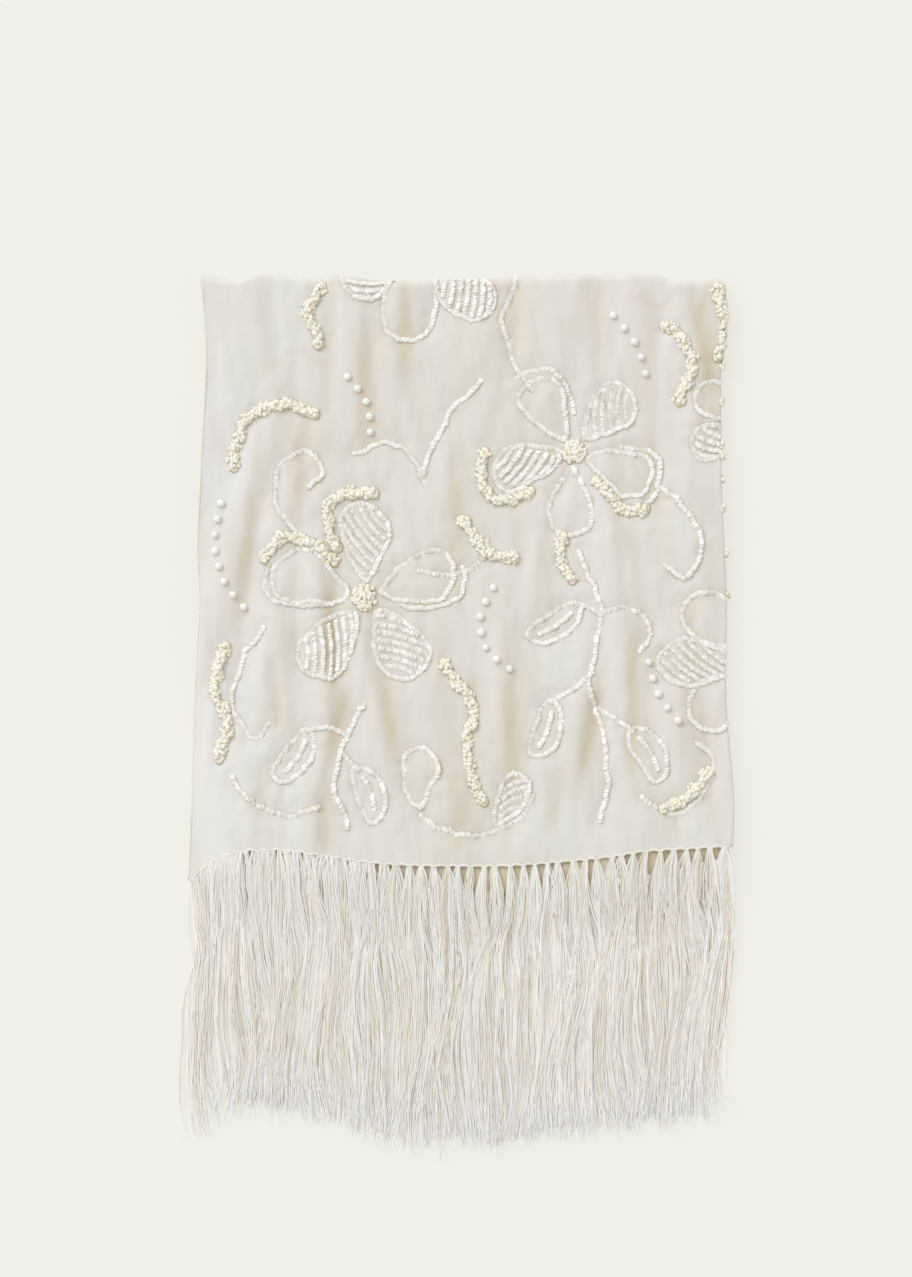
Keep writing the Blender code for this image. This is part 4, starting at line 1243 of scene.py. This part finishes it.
def under_heights(root, down):
    start = LAYER_HEIGHTS[0][1] - LIP_DROOP
    return mix(start, UNDER_REST + UNDER_LIFT, ease(down / UNDER_FALL))


def lowest_heights(root, down):
    return mix(LAYER_HEIGHTS[3][1], UNDER_REST, ease(down / LOWEST_FALL))


def inner_hem(x):
    """The hems deeper in the fold lie a little further in."""
    return under_hem(x) + INNER_HEM_IN


print("Ready to lay threads")

# %% Threads of both hems
FRONT = (front_hem, front_length, fringe_left, fringe_right, FRONT_ENDS, FRONT_TASSELS)
UNDER = (under_length, under_fringe_left, fringe_right, UNDER_ENDS)
# After those come the locks in a tassel, the threads in a lock, the heights and the seed
paths, tone = thread_paths(*FRONT, 4, 9, front_heights, 4)
front_threads = fringe_piece("fringe_front", paths, tone, ["front_fringe"])
paths, tone = thread_paths(*FRONT, 5, 5, upper_heights, 9)
upper_threads = fringe_piece("fringe_front_upper", paths, tone)
# The under fringes get painted shade near their roots, under the top layer, and the lowest one is
# darker all along, also painted shade
paths, tone = thread_paths(under_hem, *UNDER, UNDER_TASSELS, 4, 7, under_heights, 17, root_painted_shade=0.2)
under_threads = fringe_piece("fringe_under", paths, tone, ["under_fringe"])
paths, tone = thread_paths(inner_hem, *UNDER, INNER_TASSELS, 3, 8, lowest_heights, 23, root_painted_shade=0.5)
lowest_threads = fringe_piece("fringe_lowest", paths, tone - 0.15)
for piece in (front_threads, upper_threads, under_threads, lowest_threads):
    print(piece.name, "has", len(piece.data.polygons), "faces")

# %% [markdown]
# ## Sequins
#
# A sequin is a small cupped disc, sewn here with its hollow side down. A flat ring of eight
# points, a smaller raised ring and a tip give it, made from one cone. It is modelled once, and
# its points are copied to every place by one turn matrix each, which is far quicker than
# thousands of objects. Sewn in a line, each lies on the next at a slant, like a twisted cord, so
# this one is narrower along the line than across it.

# %% One sequin
SEQUIN_NARROW = 0.84
# Tone added at a sequin's edge, as painted shade, and at its middle
EDGE_PAINTED_SHADE, MIDDLE_TONE = -0.85, 0.1
RIM_TO_RING = 0.60


def shape_of(piece):
    """Points and faces of a small shape, which is then deleted."""
    points = np.array([v.co for v in piece.data.vertices])
    # A new sphere lists its faces in another order each time, so they are sorted
    faces = sorted(tuple(p.vertices) for p in piece.data.polygons)
    bpy.data.objects.remove(piece, do_unlink=True)
    return points, faces


bpy.ops.object.select_all(action="DESELECT")
bpy.ops.mesh.primitive_cone_add(vertices=8, radius1=1.0, radius2=RIM_TO_RING, depth=0.15)
sequin = bpy.context.object
bpy.ops.object.mode_set(mode="EDIT")
bpy.ops.mesh.select_all(action="DESELECT")
bpy.ops.object.mode_set(mode="OBJECT")
for face in sequin.data.polygons:
    face.select = len(face.vertices) == 8 and face.center.z > 0
bpy.ops.object.mode_set(mode="EDIT")
bpy.ops.mesh.poke(offset=0.05)
bpy.ops.object.mode_set(mode="OBJECT")
for vertex in sequin.data.vertices:
    vertex.co.x *= SEQUIN_NARROW
sequin_shape = shape_of(sequin)
# Painted shade darkens the edge against the middle, as the shadow where each sequin of a line lies
# on the next, so that each can be told from the next
sequin_edge_shade = np.where(sequin_shape[0][:, 2] < 0, EDGE_PAINTED_SHADE, MIDDLE_TONE)
print(f"One sequin has {len(sequin_shape[1])} faces")

# %% Stamping a shape at many places
def unit(vectors):
    return vectors / np.linalg.norm(vectors, axis=-1, keepdims=True)


def three_axes(first, up):
    """Three axes for each place, in columns: along a shape, across it and up from it."""
    return np.stack((first, np.cross(up, first), up), axis=2)


def lying(flat, lift):
    """Origins and axes of shapes that lie flat on the cloth."""
    points, away = on_cloth(flat)
    return points + away * lift, three_axes(unit(np.cross(away, (0.0, 1.0, 0.1))), away)


def stamped(name, shape, places, sizes, tones, finish, nodes=(), smooth=True,
            own_tones=0.0):
    """One mesh with a copy of the shape at each of the places, which are origins and axes."""
    origins, axes = places
    shape_points, shape_faces = shape
    local = shape_points[None] * np.asarray(sizes)[:, None, None]
    points = origins[:, None] + np.einsum("nij,nkj->nki", axes, local)
    count = len(shape_points)
    faces = [tuple(v + n * count for v in face) for n in range(len(origins))
             for face in shape_faces]
    piece = mesh_piece(name, points.reshape(-1, 3), faces)
    point_tones = np.asarray(tones)[:, None] + np.broadcast_to(own_tones, count)
    set_number(piece, "tone", np.clip(point_tones, 0, 1).ravel())
    dress(piece, finish, nodes, smooth)
    return piece


def turned(vectors, about, angle):
    """Vectors turned about matching unit axes."""
    cosine, sine = np.cos(angle)[:, None], np.sin(angle)[:, None]
    along = np.sum(vectors * about, axis=1, keepdims=True)
    return vectors * cosine + np.cross(about, vectors) * sine + about * along * (1 - cosine)


print("Ready to stamp")

# %% [markdown]
# In a rope line each sequin is sewn down at one side and leans on the one before it, so it tilts
# and turns from the line by the same amounts all along, give or take a little.

# %% Rope lines
SEQUIN_RADIUS = 0.0020
SEQUIN_PITCH = 0.0016
SEQUIN_TILT = math.radians(15)
SEQUIN_SLANT = math.radians(42)
SEQUIN_LIFT = 0.00030
SLANT_SPREAD, TILT_SPREAD, SIDE_SPREAD = 0.10, 0.08, 0.00022


def rope_places(lines, seed):
    """Origins and axes of overlapping sequins along lines on the cloth."""
    chance = np.random.default_rng(seed)
    origins, axes = [], []
    for line in lines:
        flat = evenly(line, SEQUIN_PITCH)
        points, away = on_cloth(flat)
        along = unit(np.gradient(points, axis=0))
        beside = unit(np.cross(away, along))
        count = len(points)
        slant = SEQUIN_SLANT + chance.normal(0, SLANT_SPREAD, count)
        hinge = turned(beside, away, slant)
        tilt = -SEQUIN_TILT + chance.normal(0, TILT_SPREAD, count)
        up = turned(away, hinge, tilt)
        first = turned(along, hinge, tilt)
        # Only the part of it that is square to the upward direction
        first = unit(first - up * np.sum(first * up, axis=1, keepdims=True))
        shown = in_sight(flat)
        places = points + away * SEQUIN_LIFT + beside * chance.normal(0, SIDE_SPREAD, (count, 1))
        origins.append(places[shown])
        axes.append(three_axes(first, up)[shown])
    return np.vstack(origins), np.vstack(axes)


def rope_piece(name, lines, seed, nodes=()):
    places = rope_places(lines, seed)
    count = len(places[0])
    chance = np.random.default_rng(seed + 100)
    sizes = SEQUIN_RADIUS * chance.uniform(0.92, 1.06, count)
    tones = np.clip(chance.normal(0.7, 0.18, count), 0, 1)
    return stamped(name, sequin_shape, places, sizes, tones, sequin_finish,
                   nodes, smooth=False, own_tones=sequin_edge_shade)


def numbered(name, count):
    """The names of the plain pieces of one kind."""
    return [f"{name}_{n}" for n in range(1, count + 1)]


rope_pieces = [
    rope_piece("sequins_rose", flower_ropes["rose"], 21, numbered("rose_petal", PETALS)),
    rope_piece("sequins_daisy", flower_ropes["daisy"], 22, numbered("daisy_petal", PETALS)),
    rope_piece("sequins_leaves", leaf_ropes, 23, numbered("leaf", len(LEAVES))),
    rope_piece("sequins_stems", stem_ropes, 24, numbered("stem", len(STEMS))),
    rope_piece("sequins_tendrils", tendril_ropes, 25),
    rope_piece("sequins_cut_flowers", cut_ropes, 26),
]
print("Sequins:", sum(len(piece.data.polygons) for piece in rope_pieces) // len(sequin_shape[1]))

# %% [markdown]
# Ruched trim is a string of larger sequins pushed together until they stand on edge and lie over
# each other every way. They are sewn to a gathered base, which closes the gaps between them. Flat
# discs that overlap make the base, under the trim and under the flowers' hearts.

# %% The bed under the trim
BED_RADIUS, BED_STEP, BED_LIFT = 0.0034, 0.0017, 0.0011
HEART_BED = [(0.0, 0.0)] + [(0.0040, math.radians(60 * n)) for n in range(6)]

bed_flats = [evenly(line, BED_STEP) for line in ruche_lines + more_ruche_lines]
for flower in FLOWERS.values():
    bed_flats.append([np.array(flower["centre"]) + out * np.array((math.cos(turn), math.sin(turn)))
                      for out, turn in HEART_BED])
bed_flats = np.vstack(bed_flats)
bed_sizes = BED_RADIUS * np.random.default_rng(38).uniform(0.85, 1.1, len(bed_flats))
# The bed has the lowest tone, the painted shade of the trim's finish
stamped("ruched_trim_bed", sequin_shape, lying(bed_flats, BED_LIFT), bed_sizes,
        np.zeros(len(bed_flats)), ruched_finish)
print(f"{len(bed_flats)} discs in the bed")

# %% [markdown]
# The standing sequins are the same disc, curled more. They are stamped close together with their
# faces turned sideways, in a band about 9 mm wide, and reach highest along its middle.

# %% Ruched trim
RUCHE_WIDTH = 0.0074
RUCHE_RADIUS = 0.0021
RUCHE_STEP = 0.00045
RUCHE_SWELL = 0.0021
RUCHE_LIFT, RUCHE_DOME = 0.0006, 0.0018
CURL = np.array((0.95, 0.95, 3.2))
ruched_shape = (sequin_shape[0] * CURL, sequin_shape[1])


def ruched_piece(name, flat, lifts, seed, nodes=()):
    """Sequins standing on edge at flat places, each with its own lift from the cloth."""
    chance = np.random.default_rng(seed)
    points, away = on_cloth(flat)
    count = len(points)
    turn = chance.uniform(0, 2 * math.pi, count)
    sideways = np.column_stack((np.cos(turn), np.sin(turn), np.zeros(count)))
    up = unit(sideways + away * chance.uniform(1.6, 4.5, (count, 1)))
    places = points + away * lifts[:, None], three_axes(unit(np.cross(up, away)), up)
    sizes = RUCHE_RADIUS * chance.uniform(0.75, 1.1, count)
    # Painted shade: the lower a sequin stands, the lower its tone, so it is yellower and darker
    tones = np.clip(0.25 + 0.75 * lifts / lifts.max() + chance.normal(0, 0.15, count), 0, 1)
    return stamped(name, ruched_shape, places, sizes, tones, ruched_finish,
                   nodes)


def ruche_flats(lines, seed):
    """Flat places and lifts of the sequins of some trims, highest along the middle of each."""
    chance = np.random.default_rng(seed)
    flats, lifts = [], []
    for line in lines:
        middle = evenly(line, RUCHE_STEP)
        along = unit(np.gradient(middle, axis=0))
        beside = np.column_stack((-along[:, 1], along[:, 0]))
        swell = 0.8 + 0.2 * np.sin(np.arange(len(middle)) * RUCHE_STEP / RUCHE_SWELL)
        share = chance.uniform(-1, 1, len(middle))
        flats.append(middle + beside * (share * RUCHE_WIDTH / 2 * swell)[:, None])
        dome = RUCHE_LIFT + RUCHE_DOME * (1 - share ** 2)
        lifts.append(dome * chance.uniform(0.6, 1.15, len(middle)))
    return np.vstack(flats), np.concatenate(lifts)


ruched_trim = ruched_piece("ruched_trim", *ruche_flats(ruche_lines, 31), 32,
                           numbered("ruche", len(RUCHES)))
ruched_piece("ruched_trim_edges", *ruche_flats(more_ruche_lines, 35), 36)
print(f"Ruched trim of {len(ruched_trim.data.polygons)} faces")

# %% [markdown]
# The flowers' hearts are small discs filled with the same sequins. A square root of the random
# number spreads them evenly over a disc. Without it they would crowd in the middle.

# %% Flower hearts
HEART_COUNT, HEART_MARGIN = 64, 0.003
HEART_LIFT, HEART_DOME = 0.0008, 0.0016

chance = np.random.default_rng(33)
heart_flats, heart_lifts = [], []
for flower in FLOWERS.values():
    turn = chance.uniform(0, 2 * math.pi, HEART_COUNT)
    out = np.sqrt(chance.random(HEART_COUNT)) * (flower["heart"] - HEART_MARGIN)
    heart_flats.append(np.array(flower["centre"])
                       + np.column_stack((np.cos(turn), np.sin(turn))) * out[:, None])
    heart_lifts.append(HEART_LIFT + HEART_DOME * (1 - out / out.max()))
ruched_piece("ruched_hearts", np.vstack(heart_flats), np.concatenate(heart_lifts), 34)
print(f"{len(FLOWERS)} hearts of {HEART_COUNT} sequins")

# %% [markdown]
# The trim goes on behind the long fold, so here and there a few of its sequins peep over it.

# %% Sequins on the long fold
# Place along the fold, length and number of sequins
FOLD_CLUSTERS = (
    (246.4, 2, 8), (213, 5, 22), (190.6, 4, 16), (165, 5, 20), (157.5, 4, 14), (143, 3, 9),
    (125.5, 4, 12), (98, 4, 14), (72, 3, 8))
FOLD_BAND, FOLD_LIFT = (0.0010, 0.0030), (0.0006, 0.0020)

fold_flats = []
for y, length, count in FOLD_CLUSTERS:
    along = y / MM + length / MM * chance.uniform(-0.5, 0.5, count)
    past_fold = side_fold_start(along) + chance.uniform(*FOLD_BAND, count)
    fold_flats.append(np.column_stack((past_fold, along)))
fold_flats = np.vstack(fold_flats)
ruched_piece("ruched_fold_edge", fold_flats, chance.uniform(*FOLD_LIFT, len(fold_flats)), 37)
print(f"{len(fold_flats)} sequins on the long fold")

# %% [markdown]
# Single pearls run in trails. A low sphere, flattened a little, is enough at this size.

# %% Pearl trails
PEARL_RADIUS = 0.0025
PEARL_SPACING = 0.0104
PEARL_LIFT = 0.0011
PEARL_FLATNESS = 0.72

bpy.ops.object.select_all(action="DESELECT")
bpy.ops.mesh.primitive_uv_sphere_add(segments=12, ring_count=8, radius=1.0)
pearl = bpy.context.object
for vertex in pearl.data.vertices:
    vertex.co.z *= PEARL_FLATNESS
pearl_shape = shape_of(pearl)
pearl_flats = np.vstack([evenly(line, PEARL_SPACING) for line in pearl_lines])
chance = np.random.default_rng(41)
stamped("pearl_trails", pearl_shape, lying(pearl_flats, PEARL_LIFT),
        PEARL_RADIUS * chance.uniform(0.88, 1.05, len(pearl_flats)),
        chance.uniform(0.2, 1.0, len(pearl_flats)), pearl_finish)
print(f"{len(pearl_flats)} pearls")

# %% [markdown]
# ## The knots
#
# Each tassel is wrapped once where it leaves the hem. A small sphere, stretched along the strand
# and pinched, covers the place where the threads start.

# %% Knots at the hems
KNOT_SIZE = np.array((0.0009, 0.0013, 0.0009))

bpy.ops.object.select_all(action="DESELECT")
bpy.ops.mesh.primitive_uv_sphere_add(segments=8, ring_count=6, radius=1.0)
knot_shape = shape_of(bpy.context.object)


def knots(name, hem, ends, tassels, height):
    root = tassel_places(ends, tassels)
    origins = np.column_stack((root, hem(root) - KNOT_OUTSIDE, height(root)))
    axes = np.tile(np.diag(KNOT_SIZE), (tassels, 1, 1))
    tones = 0.5 + 0.3 * np.sin(2.3 * np.arange(tassels))
    stamped(name, knot_shape, (origins, axes), np.ones(tassels), tones, thread_finish)


knots("fringe_knots_front", front_hem, FRONT_ENDS, FRONT_TASSELS,
      lambda x: cloth_top(x, front_hem(x)) - CLOTH_WALL / 2)
knots("fringe_knots_under", under_hem, UNDER_ENDS, UNDER_TASSELS,
      lambda x: np.full(len(x), UNDER_HEM_HEIGHT))
print("Tied", FRONT_TASSELS + UNDER_TASSELS, "knots")

# %% [markdown]
# The top layer is a sheet of cloth that was cut flat.

# %% [markdown]
# ## Table, light and camera
#
# The scarf lies on a pale table top, which glows a little, as a light table does, so that its
# shadow stays faint. It is so large that its edge is out of sight from every side. One large soft
# light stands to the upper left and the bright room fills the shadows. The camera looks straight
# down from high up.

# %% Table
TABLE_SIZE, TABLE_HEIGHT = 60.0, -0.0002

bpy.ops.object.select_all(action="DESELECT")
bpy.ops.mesh.primitive_plane_add(size=TABLE_SIZE, location=(0.0, 0.0, TABLE_HEIGHT))
table = bpy.context.object
table.name = "table_top"
table_finish, _, table_shader = new_finish("pale table", 0.9, specular=0.1)
table_shader.inputs["Base Color"].default_value = (0.20, 0.20, 0.185, 1.0)
table_shader.inputs["Emission Color"].default_value = (1.0, 1.0, 0.926, 1.0)
table_shader.inputs["Emission Strength"].default_value = 0.675
table.data.materials.append(table_finish)
print("Laid a pale table top")

# %% Lights
LIGHT_DIRECTION = (0.85, -1.0, -1.1)

key_light = bpy.data.lights.new("key", "SUN")
key_light.energy = 1.55
key_light.color = (0.93, 0.985, 1.09)
key_light.angle = math.radians(44)
key = in_scene("key", key_light)
key.rotation_euler = Vector(LIGHT_DIRECTION).to_track_quat("-Z", "Y").to_euler()
world = bpy.data.worlds.new("studio")
world.use_nodes = True
world.node_tree.nodes["Background"].inputs["Color"].default_value = (1.0, 0.972, 0.91, 1.0)
world.node_tree.nodes["Background"].inputs["Strength"].default_value = 0.68
bpy.context.scene.world = world
bpy.context.scene.view_settings.view_transform = "Standard"
print("One large light and a bright room")

# %% Camera
PICTURE_WIDTH, PICTURE_HEIGHT = 912, 1277
METRES_PER_PIXEL = 0.00062
CAMERA_HEIGHT = 2.4
# The pixel of the picture that lies over the drawing's zero, and over its head line
PICTURE_ZERO_X = 461
PICTURE_HEAD_Y, HEAD_Y = 275, 0.270

camera_data = bpy.data.cameras.new("camera")
camera = in_scene("camera", camera_data)
camera_data.lens = camera_data.sensor_width * CAMERA_HEIGHT / (PICTURE_HEIGHT * METRES_PER_PIXEL)
picture_x = (PICTURE_WIDTH / 2 - PICTURE_ZERO_X) * METRES_PER_PIXEL
picture_y = HEAD_Y - (PICTURE_HEIGHT / 2 - PICTURE_HEAD_Y) * METRES_PER_PIXEL
camera.location = (picture_x + move_x, picture_y + move_y, CAMERA_HEIGHT)
bpy.context.scene.camera = camera
print(f"A {camera_data.lens:.0f} mm lens, {CAMERA_HEIGHT} m above the table")
